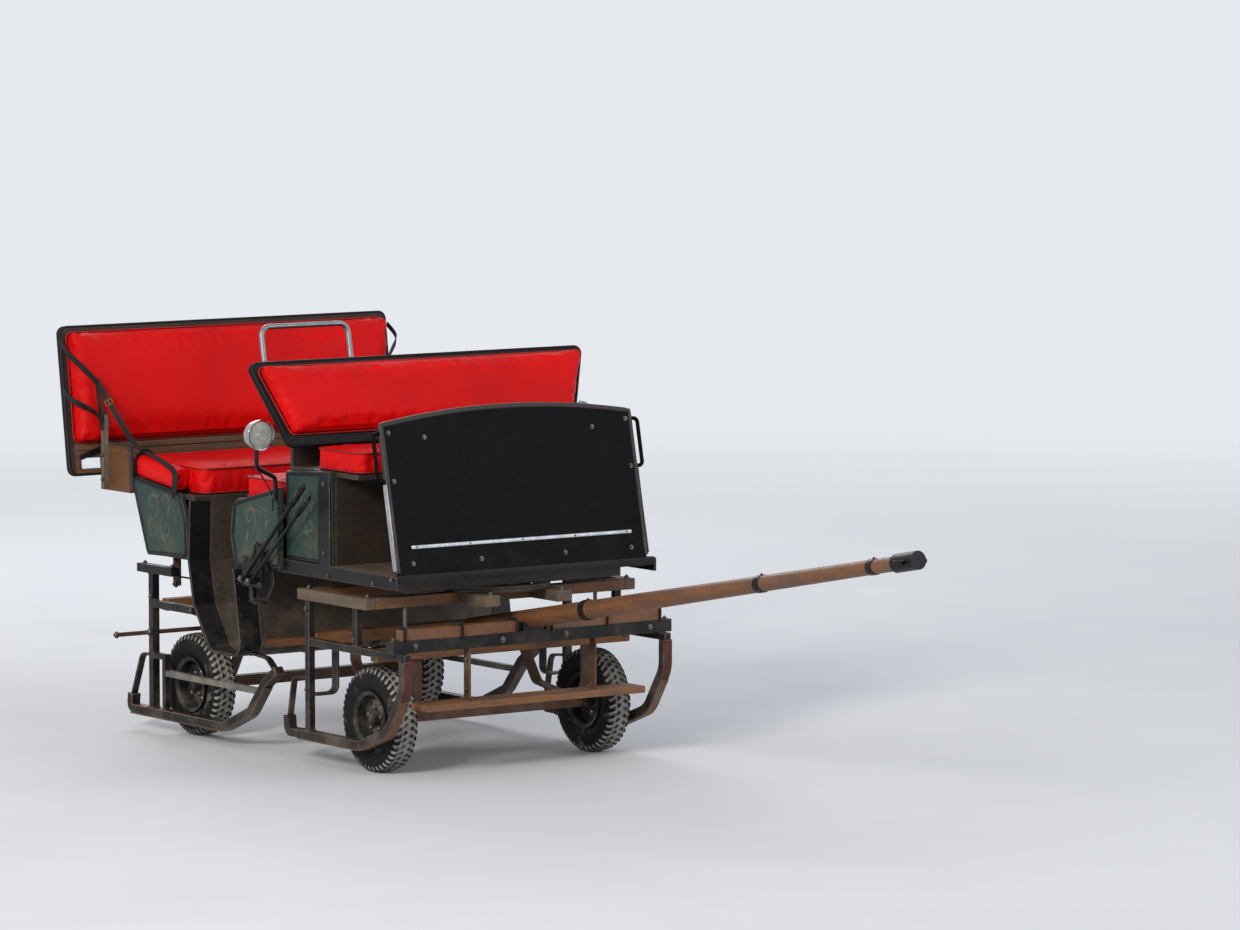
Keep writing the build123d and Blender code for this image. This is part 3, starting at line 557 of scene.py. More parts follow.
def weldSolids(work, dist=5e-5):
    # faces that share an edge with just one other lie on one solid, and only a solid's own points are
    # welded, so that two solids that touch along an edge stay apart
    tags = {vert.index: tuple(round(value / dist / 2) for value in vert.co) for vert in work.verts}
    users = {}
    for face in work.faces:
        ring = [tags[vert.index] for vert in face.verts]
        for one, two in zip(ring, ring[1:] + ring[:1]):
            users.setdefault((min(one, two), max(one, two)), []).append(face.index)
    leader = list(range(len(work.faces)))

    def top(k):
        while leader[k] != k:
            leader[k] = leader[leader[k]]
            k = leader[k]
        return k

    for faces in users.values():
        if len(faces) == 2:
            leader[top(faces[0])] = top(faces[1])
    solids = {}
    for face in work.faces:
        solids.setdefault(top(face.index), {}).update((vert.index, vert) for vert in face.verts)
    for verts in solids.values():
        bmesh.ops.remove_doubles(work, verts=[verts[k] for k in sorted(verts)], dist=dist)


def easedCopy(name, node, materials, body, slot, width):
    # a welded copy of a CAD node with narrow rounded edges, the edges in the second material
    work = bmesh.new()
    work.from_mesh(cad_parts[node].data)
    work.verts.index_update()
    work.faces.index_update()
    weldSolids(work)
    bmesh.ops.dissolve_limit(work, angle_limit=math.radians(2), verts=work.verts, edges=work.edges)
    for face in work.faces:
        face.material_index = 0
    piece = shown(name, settled(work, name), materials, body, slot, node)
    bevel = piece.modifiers.new("easedEdges", "BEVEL")
    bevel.width, bevel.segments = width, 2
    bevel.limit_method, bevel.angle_limit = "ANGLE", math.radians(30)
    bevel.use_clamp_overlap = True
    # corners that slide along flat edges can fold a face over a slot
    bevel.loop_slide = False
    bevel.material = 1 if len(materials) > 1 else -1
    piece.modifiers.new("evenNormals", "WEIGHTED_NORMAL")


def paintRegion(name, low, high):
    # faces whose middle lies inside the box take the piece's third material
    polygons = bpy.data.objects[name].data.polygons
    middle, current = rowsOf(polygons, "center"), np.zeros(len(polygons), np.int32)
    polygons.foreach_get("material_index", current)
    inside = np.all((middle >= at(*low)) & (middle <= at(*high)), axis=1)
    polygons.foreach_set("material_index", np.where(inside, 2, current))


# wheels

tyreLook = dict(radius=0.2095, bead=0.101, width=0.108, lugs=44, depth=0.0085, around=528, treadHalf=0.047)


def softStep(value, edge, width):
    return np.clip((value - edge) / width + 0.5, 0, 1)


def treadTyre(centre):
    # profile: bead, bulged wall, shoulder and crown; the crown sinks between blocks by
    # depth * (1 - block), block = least of the soft steps in the angle (zigzag) and across the tread
    radius, bead, width, lugs, depth, around, treadHalf = tyreLook.values()
    tread, wall = np.linspace(-1, 1, 27), np.linspace(0, 1, 9)[1:]
    crownR = radius - 0.0065 * tread ** 2 - 0.008 * np.clip(np.abs(tread) - 0.86, 0, 1) / 0.14
    wallR = radius - 0.0145 + (bead - radius + 0.0145) * wall
    bulge = (width / 2 - treadHalf) * np.sin(math.pi * np.clip(wall * 1.15, 0, 1)) ** 0.8
    wallY = treadHalf + bulge - 0.013 * wall ** 3 + 0.0009 * np.cos(wall * 40)
    profileR = np.concatenate([wallR[::-1], crownR, wallR])
    profileY = np.concatenate([-wallY[::-1], treadHalf * tread, wallY])
    over = np.concatenate([np.full(8, -2.0), tread, np.full(8, 2.0)])
    off = np.abs(over)
    turn = np.linspace(0, 2 * math.pi, around, endpoint=False)[:, None]
    phase = turn * lugs / 2 + 1.1 * off * math.pi + (over > 0) * math.pi / 2
    blocks = softStep(np.sin(2 * phase), -0.35, 0.55)
    centreGroove = softStep(np.abs(over + 0.13 * np.sin(turn * lugs)), 0.1, 0.12)
    sideGroove = softStep(np.abs(off - 0.56 + 0.05 * np.sin(turn * lugs + 1)), 0.06, 0.07)
    raised = np.minimum(blocks, np.minimum(centreGroove, sideGroove))
    shoulder = 1 - 0.25 * np.clip((off - 0.8) / 0.2, 0, 1)
    sunk = (1 - raised) * np.clip((1.35 - off) / 0.3, 0, 1) * shoulder
    r = profileR - depth * sunk
    points = centre + np.stack([r * np.cos(turn), np.broadcast_to(profileY, r.shape), r * np.sin(turn)], 2)
    faces = gridFaces(around, len(profileR), True, True)
    return points.reshape(-1, 3), [face[::-1] for face in faces], np.clip(sunk * 1.3, 0, 1).ravel()


rimLook = dict(nuts=5, nutCircle=0.046, nutSize=0.0085)


def rimDetails(centre, side):
    # wheel nuts on a circle round the hub, a domed dust cap and the valve
    nuts, nutCircle, nutSize = rimLook.values()
    out = np.array([0, side, 0])
    turn = np.linspace(0, 2 * math.pi, nuts, endpoint=False) + 0.3
    spokes = np.stack([np.cos(turn), 0 * turn, np.sin(turn)], 1)
    cap = [(0, 0.026), (0.0245, 0.026), (0.0255, 0.028), (0.0255, 0.0305), (0.023, 0.036), (0.0195, 0.044),
           (0.013, 0.0475), (0, 0.0485)]
    foot = centre + [0.088, 0, 0]
    stem = [foot + out * 0.002, foot + out * 0.02, foot + out * 0.038 - [0.005, 0, 0]]
    return ([bolt(centre + out * 0.0235 + nutCircle * spoke, out, nutSize) for spoke in spokes],
            turned(cap, centre, out, 28), tube(stem, 0.0036, 10))


for end, x in (("Front", 0.0), ("Rear", -1.33)):
    for sideName, sideWord, side in sides:
        tag, word = end + sideName, "_%s_%s" % (end.lower(), sideWord)
        body, centre = "wheel" + word, at(x, side * trackY, 0.21)
        points, faces, sunk = treadTyre(centre)
        mesh = bpy.data.meshes.new("tyre" + tag)
        mesh.from_pydata(points.tolist(), [], faces)
        groove = mesh.attributes.new("groove", "FLOAT", "POINT")
        groove.data.foreach_set("value", sunk.astype(np.float32))
        mesh.shade_smooth()
        shown("tyre" + tag, mesh, ["tyreRubber"], body, "tyre", "tyre" + word)
        finished("rim" + word, "rimPaint")
        nuts, cap, stem = rimDetails(centre, side)
        addPiece("wheelNuts" + tag, nuts, "boltZinc", "rim_paint", body)
        addPiece("hubCap" + tag, [cap], "greasedSteel", "rim_paint", body)
        addPiece("valve" + tag, [stem], "tyreRubber", "tyre", body)
print("wheels done")


# runners, frames and axles: a node that ends with an underscore is one of a pair

eased = dict(
    body=(
        ("rearRunner", "rear_runner_", "blackPaint rustEdge", "black_paint", 0.004),
        ("rearFrame", "rear_side_frame_", "blackPaint wornEdge greyedBar", "black_paint", 0.0028),
        ("rearCrossBeams", "rear_cross_beams", "beamWoodY", "brown_wood", 0.004),
        ("rearAxle", "rear_axle", "rustyIron rustEdge", "rusty_iron", 0.0025),
        ("rearIrons", "rear_irons", "rustyIron rustEdge", "rusty_iron", 0.002),
        ("turntableUpper", "turntable_upper", "greasedSteel wornEdge", "black_paint", 0.002),
        ("doorBands", "door_bands", "blackPaint wornEdge", "black_paint", 0.0025),
        ("footwellShell", "footwell_shell", "browned wornEdge beamWoodY", "dark_wood", 0.0025),
        ("rearBox", "rear_box", "darkWoodY wornEdge", "dark_wood", 0.0025),
        ("seatBoxes", "seat_boxes", "darkWoodY wornEdge", "dark_wood", 0.0025),
        ("quarter", "rear_quarter_", "greenPaint greenEdge", "green_paint", 0.003),
        ("frontPanels", "front_panels_", "greenPaint greenEdge", "green_paint", 0.003),
        ("sillRails", "sills", "blackPaint wornEdge", "black_paint", 0.003),
        ("rearWings", "rear_wings", "brownLeather brownLeather greyedBar", "brown_leather", 0.003),
        ("rearBackBoard", "rear_back_frame", "edgeLeather edgeLeather brownBoardY", "dark_wood", 0.004),
        ("driverBackBoard", "driver_back_frame", "blackLeather blackLeather", "black_paint", 0.004),
        ("dashPanel", "dash_panel", "glossBlack glossBlack", "gloss_black", 0.003),
        ("dashStrip", "dash_strip", "stripMetal", "chrome", 0.003),
    ),
    fore_carriage=(
        ("frontRunner", "front_runner_", "darkIron wornEdge redIron", "rusty_iron", 0.004),
        ("frontFrame", "front_side_frame_", "blackPaint wornEdge", "black_paint", 0.0028),
        ("frontCrossBeams", "front_cross_beams", "beamWoodY", "brown_wood", 0.004),
        ("topFrame", "front_top_frame", "greyWoodX greyWoodX beamWoodY", "brown_wood", 0.004),
        ("stepPlank", "step_plank", "beamWoodY", "brown_wood", 0.004),
        ("frontAxle", "front_axle", "rustyIron rustEdge", "rusty_iron", 0.0025),
        ("frontIrons", "front_irons", "rustyIron rustEdge greyedBar", "rusty_iron", 0.0012),
        ("turntableLower", "turntable_lower", "greasedSteel wornEdge", "black_paint", 0.002),
        ("splinterBar", "splinter_bar", "blackPaint wornEdge", "black_paint", 0.004),
        ("poleIrons", "pole_irons", "blackPaint wornEdge", "black_paint", 0.0015),
    ),
)
for body, rows in eased.items():
    for name, node, materials, slot, width in rows:
        for sideName, sideWord, _ in sides if node.endswith("_") else (("", "", 0),):
            easedCopy(name + sideName, node + sideWord, materials.split(), body, slot, width)
for sideName, sideWord, side in sides:
    paintRegion("rearFrame" + sideName, (-1.407, -1, 0.235), (-0.6, 1, 0.27))
    # only the faces across the bar, whose middles lie on its centre line: red-brown, partly the iron's own
    # colour and partly painted sunlight on the lit face
    y = side * runnerY
    paintRegion("frontRunner" + sideName, (0.08, y - 0.01, 0.0), (0.4, y + 0.01, 0.5))
    y = side * 0.6775
    paintRegion("rearWings", (-1.82, y - 0.0225, 0.9), (-1.79, y + 0.0225, 1.32))
for x in (-0.34, 0.08):
    paintRegion("topFrame", (x - 0.026, -0.594, 0.5), (x + 0.026, 0.594, 0.8))
paintRegion("frontIrons", (0.08, -0.5, 0.49), (0.11, 0.5, 0.66))
paintRegion("footwellShell", (-0.79, -0.57, 0.414), (-0.752, 0.57, 0.45))
for node, material in (("back_hoop", "dullSteel"), ("dash_handles", "glossBlack"), ("pole", "poleWood"),
                       ("lamp_brackets", "blackPaint"), ("brake_lever", "blackPaint")):
    finished(node, material)
print("frames done")


# the rear bob's spring with its clips and bolts

springLook = dict(count=4, leaf=0.008, thin=0.0074, half=0.025, rise=0.058, reach=0.54, foot=0.555, x=-1.45)


def springLeaves():
    # each leaf follows z = foot + rise * (y / reach) squared, shorter leaves below
    count, leaf, thin, half, rise, reach, foot, x = springLook.values()
    for row in range(count):
        y = np.linspace(-1, 1, 65) * reach * (row + 1.5) / 4.5
        z = foot + leaf * row + 0.0003 + rise * (y / reach) ** 2
        yield swept(route(np.stack([np.full(65, x), y, z], 1)), bar(half - 0.0004 * row, thin, 0.22))


def springHardware():
    # bent bolts over a plate, clips that hold the leaves together, and the shackles' and stays' bolts
    x, arch = springLook["x"], [(-1.483, 0.492), (-1.483, 0.594), (-1.417, 0.594), (-1.417, 0.492)]
    parts = bolts((down, 0.008, (-1.483, 0.055, 0.4965), (-1.417, 0.055, 0.4965)),
                  (across, 0.011, (x, 0.5525, 0.612)), (across, 0.009, (x, 0.5525, 0.712)),
                  (across, 0.01, (-1.512, 0.8, 0.412)), (across, 0.012, (-1.512, 0.64, 0.412)))
    parts.append(tube(bent(alongY(0.055, arch), 0.012, 5), 0.005, 10, across))
    for y, low in ((0.235, 0.5645), (0.36, 0.5725)):
        rise = springLook["rise"] * (y / springLook["reach"]) ** 2
        for edges in ((-1.479, -1.4755), (-1.4245, -1.421)):
            parts.append(blockAt(edges, (y - 0.011, y + 0.011), (low + rise, 0.589 + rise), 0.001))
        parts.append(tube(alongY(y, [(-1.483, 0.5935 + rise), (-1.417, 0.5935 + rise)]), 0.004, 8))
    plate = blockAt((-1.494, -1.406), (-0.075, 0.075), (0.4975, 0.5045), 0.002)
    return bothSides(parts) + [plate] + bolts((up, 0.009, (x, 0, 0.5885)))


addPiece("springLeaves", springLeaves(), "rustyIron", "rusty_iron", replaced="rear_spring")
addPiece("springHardware", springHardware(), "boltZinc", "rusty_iron")

# shoes under the runners

shoeLook = dict(half=0.02, thick=0.004, drop=0.018, bend=0.11)
frontRun = [(-0.388, 0.118), (0.04, 0.118), (0.235, 0.19), (0.325, 0.328)]
rearRun = [(-1.676, 0.083), (-0.96, 0.083), (-0.76, 0.165), (-0.655, 0.285)]
for name, run, material, body, slot in (
        ("frontShoes", frontRun, "rustEdge", "fore_carriage", "rusty_iron"),
        ("rearShoes", rearRun, "wornEdge", "body", "black_paint")):
    half, thick, drop, bend = shoeLook.values()
    line = evenly(bent(alongY(runnerY, run), bend, 12), 0.012)
    addPiece(name, bothSides([swept(line, bar(half, thick, 0.3, drop + thick))]), material, slot, body)

# the front runners' heels: a turned-up end butted to the runner and a bent link up to the post

heelLook = dict(half=0.0212, thick=0.0344, joint=-0.38, end=-0.478, low=0.118, top=0.182, linkHalf=0.013,
                linkThick=0.01)


def frontHeels():
    half, thick, joint, end, low, top, linkHalf, linkThick = heelLook.values()
    y = runnerY
    run = bent(alongY(y, [(joint, low), (end, low), (end - 0.007, top)]), 0.024)
    link = bent(alongY(y, [(end - 0.002, top - 0.006), (-0.446, 0.338), (-0.347, 0.346)]), 0.035, 10)
    parts = [swept(run, bar(half, thick, 0.08, thick / 2), (0.5, 0, 1)),
             swept(link, bar(linkHalf, linkThick, 0.15, linkThick / 2), (1, 0, 0.3)),
             beadAcross(-0.3505, y, 0.3522, 0.013, 0.003)]
    parts += [beadAcross(-0.3905, y, z, 0.021, 0.003) for z in (0.1005, 0.1355)]
    return bothSides(parts + [weldBead((-0.3905, y + a, 0.101), (-0.3905, y + a, 0.135), 0.003, ahead)
                              for a in (-0.0217, 0.0217)])


addPiece("frontHeels", frontHeels(), "darkIron", "rusty_iron", "fore_carriage")


# weld beads and bolts

def welds(feet, flats, uprights):
    # beads round the posts' feet, across joints and up their sides
    return bothSides([weldRound(x, runnerY, z, half) for x, z, half in feet]
                     + [beadAcross(*flat) for flat in flats]
                     + [weldBead((x, y, low), (x, y, high), up=across) for x, y, low, high in uprights])


addPiece("frontWelds", welds(
    [(-0.335, 0.137, 0.0155), (0.008, 0.506, 0.0155)],
    [(-0.3195, 0.62, 0.4745, 0.015), (-0.3195, 0.62, 0.5055, 0.015), (0.327, 0.62, 0.4745, 0.018),
     (0.363, 0.62, 0.4745, 0.018), (-0.0225, 0.405, 0.2325, 0.023), (0.0225, 0.405, 0.2325, 0.023)],
    [(-0.3195, 0.6353, 0.476, 0.504), (-0.022, 0.427, 0.21, 0.2321), (0.022, 0.427, 0.21, 0.2321)],
), "rustyIron", body="fore_carriage")
addPiece("rearWelds", welds(
    [(-1.512, 0.102, 0.0165), (-1.42, 0.102, 0.0125)],
    [(-1.4955, 0.62, 0.5145, 0.015), (-1.4955, 0.62, 0.5455, 0.015), (-1.5285, 0.62, 0.6545, 0.016),
     (-1.4955, 0.62, 0.6545, 0.016), (-1.3525, 0.405, 0.2325, 0.023), (-1.3075, 0.405, 0.2325, 0.023)],
    [(-1.4955, 0.632, 0.306, 0.33), (-1.408, 0.632, 0.241, 0.263)],
), "rustyIron")
addPiece("frontBolts", bothSides(bolts(
    (up, 0.0095, (-0.34, 0.62, 0.7), (0.08, 0.62, 0.7)),
    (up, 0.0085, (-0.34, 0.17, 0.7), (0.08, 0.17, 0.7), (0.27, 0.17, 0.7)),
    (up, 0.008, (0.3, 0.648, 0.5555)), (up, 0.007, (0.262, 0.3, 0.3005), (0.338, 0.3, 0.3005)),
    (across, 0.0085, (-0.335, 0.636, 0.62)),
    (across, 0.0075, (0.008, 0.636, 0.53), (-0.335, 0.636, 0.3), (0.3, 0.3045, 0.34), (0.3, 0.3045, 0.46)),
    (ahead, 0.0085, (0.3255, 0.56, 0.53), (0.3255, 0.15, 0.53)), (ahead, 0.008, (0.1255, 0.58, 0.475)),
    (back, 0.008, (-0.3605, 0.58, 0.5), (-0.3605, 0.4, 0.5)),
)), "boltZinc", "rusty_iron", "fore_carriage")
addPiece("bodyBolts", bothSides(bolts(
    (up, 0.0085, (-1.58, 0.62, 0.6905), (-1.37, 0.62, 0.6905)), (across, 0.008, (-1.2, 0.636, 0.53)),
    (across, 0.0075, (-1.512, 0.6365, 0.56)), (across, 0.006, (-0.538, 0.6585, 1.05)),
    (across, 0.007, (-1.805, 0.6845, 1.02), (-1.805, 0.6845, 1.12), (-0.56, 0.6205, 0.76),
     (-0.2, 0.6205, 0.76), (0.12, 0.6205, 0.76), (0.25, 0.6205, 0.786)),
    (across, 0.0065, (-0.23, 0.6205, 0.85), (-0.23, 0.6205, 1.12)),
)) + bolts(
    (outRight, 0.0065, *((x, -0.6485, z) for x in (-0.77, -0.66) for z in (0.775, 0.69))),
    (outRight, 0.01, (-0.745, -0.6835, 0.705), (-0.69, -0.6835, 0.7)),
), "boltZinc")

# the swingletrees with their iron bands, and the pole's

for sideName, sideWord, side in sides:
    tree, bands = "swingletree_" + sideWord, []
    easedCopy("swingletree" + sideName, tree, ["poleWood"], tree, "brown_wood", 0.004)
    for offset in (-0.262, 0.262, 0.0):
        half = 0.0215 if offset else 0.0285
        corners = [(0.3 + a * half, z) for a, z in ((-1, 0.5565), (1, 0.5565), (1, 0.5985), (-1, 0.5985))]
        ring = bent(alongY(side * 0.345 + offset, corners + corners[:1]), 0.006, 4)[:-1]
        bands.append(swept(ring, slab(0.013, -0.001, 0.0014), (0, 1, 0.001), True))
    addPiece("treeBands" + sideName, bands, "blackPaint", body=tree)


def poleBands():
    # the pole's line rises from the saddle to the tip; rings sit where its radius is known
    foot, tip = at(0.3, 0, 0.599), at(2.74, 0, 1.045)
    for share, radius in ((0.16, 0.0388), (0.62, 0.0321), (0.9, 0.0287)):
        centre, low, high = foot + (tip - foot) * share, radius - 0.004, radius + 0.0022
        ring = [(low, -0.016), (high, -0.016), (high, 0.016), (low, 0.016), (low, -0.016)]
        yield turned(ring, centre, tip - foot, 32)
        yield bolt(centre + [0, 0, radius + 0.002], up, 0.0045)


addPiece("poleBands", poleBands(), "blackPaint", body="fore_carriage")
print("irons done")

# doorway bands: round nails along both edges, and flat irons round the footwell's outside

footwellLine = [(-1.168, 1.0), (-1.18, 0.735), (-1.142, 0.56), (-1.015, 0.385), (-0.785, 0.385),
                (-0.854, 0.8)]


def bandNails():
    # nails at even steps, each looking square out of the band
    for y in (0.575, 0.645):
        line = evenly(bent(alongY(y, footwellLine), 0.055), 0.062)
        run = np.gradient(line, axis=0)
        out = unit(np.stack([run[:, 2], 0 * run[:, 1], -run[:, 0]], 1))
        out *= np.sign(np.sum(out * (line - at(-1.0, y, 0.75)), axis=1, keepdims=True))
        yield from [dome(p + o * 0.0062, o, 0.0048) for p, o in zip(line[1:-1], out[1:-1])]


ribLine = evenly(bent(alongY(0, footwellLine), 0.055), 0.012)[8:-22]
addPiece("bandNails", bothSides(bandNails()), "greasedSteel")
addPiece("footwellRibs", [swept(ribLine + [0, y, 0], bar(0.018, 0.0045, 0.3, 0.0135))
                          for y in (-0.3, 0, 0.3)], "blackPaint", "dark_wood")

# dash: rolled edge, bolts and nails, a bright guard on its lower edges and stays behind

dashLook = dict(foot=(0.262, 0.8), lean=12, half=0.59, height=0.59, rise=0.048)
onDash = leaned(dashLook["foot"], dashLook["lean"])


def dashEdge():
    # up one side, over the arch v = height + rise * (1 - (u / half) squared), and down the other
    _, _, half, height, rise = dashLook.values()
    u, v = np.linspace(half, -half, 61), np.linspace(0.012, height - 0.02, 20)
    leg = np.stack([np.full(20, half), v, np.full(20, -0.01)], 1)
    arch = np.stack([u, height + rise * (1 - (u / half) ** 2), np.full(61, -0.01)], 1)
    return onDash(np.concatenate([leg, arch, leg[::-1] * [-1, 1, 1]]))


def dashFittings():
    out = outOf(dashLook["lean"])
    nails = onDash([(u, 0.108, 0.0105) for u in (-0.5, -0.25, 0, 0.25, 0.5)])
    marks = [(0.565, 0.37), (0.565, 0.56), (0.4, 0.535), (0.52, 0.045), (0.2, 0.045)]
    heads = [bolt(place, out, 0.0065) for place in onDash([(u, v, 0.0005) for u, v in marks])]
    return [dome(place, out, 0.004) for place in nails] + bothSides(heads)


brace = bent([at(0.06, 0.42, 0.803), *onDash([(0.42, 0.012, -0.024), (0.42, 0.5, -0.0245)])], 0.012, 5)
guard = leanedBlock(onDash, (0.6, 0.02, -0.022), (0.6035, 0.36, 0.002), 0.001)
addPiece("dashRoll", [tube(dashEdge(), 0.0125, 14, (1, 0.001, 0.2))], "dashEdging", "gloss_black")
addPiece("dashFittings", dashFittings(), "boltZinc", "chrome")
addPiece("dashGuards", bothSides([guard]), "chrome", "chrome")
addPiece("dashBraces", bothSides([swept(brace, bar(0.016, 0.005, 0.3, 0.001), (0.3, 0, 1))]), "blackPaint")
print("dash done")

# lamps: spun bowl with a bezel and studs, reflector, bulb and a domed lens

lampLook = dict(x=-0.45, y=0.77, z=1.305, radius=0.06, lens=0.0545, flutes=18)


def lampParts(side):
    x, y, z, r, lensR, flutes = lampLook.values()
    centre = at(x, side * y, z)
    turn = np.linspace(0, math.pi / 2, 14)[1:]
    bowl = [(0, -0.085)]
    bowl += [(r * math.sin(t) ** 0.75, -0.085 + 0.083 * (1 - math.cos(t)) ** 1.05) for t in turn]
    bowl += [(r, 0), (r - 0.0025, 0), (r - 0.0045, -0.01), (r * 0.6, -0.06), (0, -0.074)]
    bead = [(r - 0.002, -0.014), (r + 0.0016, -0.012), (r + 0.0024, -0.006), (r + 0.0018, 0.0005),
            (r - 0.0012, 0.0032), (r - 0.0052, 0.0024), (r - 0.006, -0.0015), (r - 0.003, -0.006),
            (r - 0.002, -0.014)]
    share = np.linspace(0.15, 1, 10)
    dish = [(0.054 * s, -0.062 + 0.052 * s ** 2) for s in share]
    dish += [(0.0545 * s, -0.0635 + 0.052 * s ** 2) for s in share[::-1]] + dish[:1]
    bulb = [(0, -0.018), (0.006, -0.0195), (0.0105, -0.025), (0.0115, -0.032), (0.009, -0.042),
            (0.0055, -0.052), (0.0055, -0.066), (0, -0.066)]
    share = np.linspace(0, 1, 9)
    lens = [(lensR * s, 0.0015 + 0.0085 * (1 - s ** 2)) for s in share] + [(lensR, -0.002)]
    lens += [(lensR * s, -0.002 + 0.007 * (1 - s ** 2)) for s in share[-2::-1]]
    studs = [dome(centre + [0.0005, 0.0575 * math.cos(a), 0.0575 * math.sin(a)], ahead, 0.0022)
             for a in 0.4 + 1.571 * np.arange(4)]
    # the lens swells between radial flutes by depth * cos(flutes * angle) * r / lens radius
    glass, glassFaces = turned(lens, centre, ahead, 144)
    _, u, v = (glass - centre).T
    glass[:, 0] += 0.0006 * np.cos(flutes * np.arctan2(v, u)) * np.hypot(u, v) / lensR
    shell = joined([turned(bowl, centre, ahead, 48), turned(bead, centre, ahead, 48)] + studs)
    return (shell, turned(dish, centre, ahead, 40), turned(bulb, centre, ahead, 16), (glass, glassFaces),
            bolt(centre - [0.035, 0, 0.05], down, 0.0105))


for (name, material, slot, replaced), shapes in zip((
        ("lampShells", "chrome", "chrome", "lamp_shells"), ("lampReflectors", "mirror", "chrome", None),
        ("lampBulbs", "bulbWhite", "lamp_glass", None),
        ("lampLenses", "lampGlass", "lamp_glass", "lamp_glasses"),
        ("lampNuts", "boltZinc", "black_paint", None)), zip(lampParts(-1), lampParts(1))):
    addPiece(name, shapes, material, slot, "body", replaced)
cable = route([(-0.492, 0.77, 1.245), (-0.5, 0.768, 1.18), (-0.54, 0.7, 1.12), (-0.551, 0.655, 1.06),
               (-0.556, 0.65, 0.99)])
foot = blockAt((-0.552, -0.524), (0.6405, 0.6455), (1.025, 1.085), 0.0015)
addPiece("lampFeet", bothSides([foot, tube(rounded(cable), 0.0028, 8)]), "blackPaint")

# brake: ribbed grips, a toothed quadrant, a strut and a stirrup loop with a tread

brakeLook = dict(gripLength=0.115, x=-0.745, z=0.705, outer=0.168, inner=0.14, tooth=0.0035)


def brakeGrips():
    # a swollen barrel, 0.94 + 0.07 * sin(pi * v) of the radius, with ribs where sin(60 * v) is above 0
    length, x, z, *_ = brakeLook.values()
    for low, high, radius in ((at(x, -0.67, z), at(-0.306, -0.67, 1.105), 0.0135),
                              (at(-0.69, -0.67, 0.7), at(-0.262, -0.67, 1.065), 0.0112)):
        grip = [(radius * (0.94 + 0.07 * math.sin(math.pi * v) + 0.05 * (math.sin(v * 60) > 0)), v * length)
                for v in np.linspace(0, 1, 40)]
        grip = [(0, 0)] + grip + [(radius * 0.7, length + 0.006), (0, length + 0.009)]
        yield turned(grip, high - unit(high - low) * (length - 0.004), high - low, 20)


def brakeQuadrant():
    # a toothed arc: its outer edge steps in and out
    _, x, z, outer, inner, tooth = brakeLook.values()
    turn = np.linspace(math.radians(16), math.radians(64), 85)
    turnBack = np.linspace(turn[-1], turn[0], 30)
    r = np.concatenate([outer + tooth * np.sign(np.sin(turn * 70)), np.full(30, inner)])
    angle = np.concatenate([turn, turnBack])
    arc = plateOf(np.stack([x + r * np.cos(angle), z + r * np.sin(angle)], 1), -0.6545, -0.6495)
    strut = plateOf([(-0.722, 0.782), (-0.708, 0.775), (-0.674, 0.838), (-0.688, 0.846)], -0.6545, -0.6485)
    loop = bent(route([(-0.6, -0.632, 0.742), (-0.578, -0.64, 0.69), (-0.6, -0.655, 0.625),
                       (-0.712, -0.655, 0.615), (-0.735, -0.645, 0.68)]), 0.03)
    tread = blockAt((-0.704, -0.606), (-0.672, -0.638), (0.617, 0.6235), 0.002)
    return [arc, strut, swept(evenly(loop, 0.006), bar(0.013, 0.006), (0, 1, 0.001)), tread]


addPiece("brakeGrips", brakeGrips(), "tyreRubber")
addPiece("brakeQuadrant", brakeQuadrant(), "blackPaint")
print("lamps and brake done")

# floor boards with gaps, and an iron nosing

floorLook = dict(boards=8, gap=0.003, low=0.7755, high=0.8)


def floorBoards():
    boards, gap, low, high = floorLook.values()
    edges = np.linspace(-0.61, 0.61, boards + 1)
    for right, left in zip(edges[:-1], edges[1:]):
        yield blockAt((-0.842, 0.281), (right + gap / 2, left - gap / 2), (low, high), 0.0025)


addPiece("floorBoards", floorBoards(), "greyWoodX", "brown_wood", "body", "front_floor", 30)
addPiece("floorNosing", [blockAt((0.2815, 0.287), (-0.61, 0.61), (0.772, 0.803), 0.0015),
                         blockAt((0.262, 0.287), (-0.61, 0.61), (0.8005, 0.8045), 0.0015)],
         "blackPaint")

# mouldings and faded scrolls on the green panels

quarterLine = [(-1.495, 0.735), (-1.188, 0.745), (-1.1965, 0.9), (-1.24, 1.005), (-1.622, 1.052)]
benchLine = [(-0.848, 0.743), (-0.52, 0.76), (-0.52, 1.087), (-0.862, 1.004), (-0.881, 0.874)]
driverLine = [(-0.52, 0.8), (-0.27, 0.8), (-0.27, 1.167), (-0.52, 1.152)]
mouldLook = dict(half=0.0085, rise=0.0045, inset=0.0095)


def inset(outline, amount):
    # corners of a convex outline moved inwards by the same amount from both edges
    outline = np.array(outline, float)
    middle = outline.mean(axis=0)

    def inward(a, b):
        run = b - a
        normal = unit(np.stack([-run[:, 1], run[:, 0]], 1))
        return normal * np.sign(np.sum(normal * (middle - a), axis=1, keepdims=True))

    first, second = inward(np.roll(outline, 1, 0), outline), inward(outline, np.roll(outline, -1, 0))
    return outline + amount * (first + second) / (1 + np.sum(first * second, axis=1, keepdims=True))


def mouldings():
    # half an ellipse (-half * cos, rise * sin) carried round each panel's line
    half, rise, amount = mouldLook.values()
    section = [(-half * math.cos(t), rise * math.sin(t)) for t in np.linspace(0, math.pi, 7)]
    for outline, y in ((quarterLine, 0.66), (benchLine, 0.64), (driverLine, 0.61)):
        line = evenly(looped(alongY(y, inset(outline, amount)), 0.012, 6), 0.006, True)
        yield swept(line, section + [(half, -0.0015), (-half, -0.0015)], across, True)


def ribbon(x, z, y, width, grow):
    # a thin strip on a panel: its half width is width * grow at each point
    return swept(route(np.stack([x, np.full(len(x), y), z], 1)), slab(width, -0.0002, 0.0004), across, False,
                 grow)


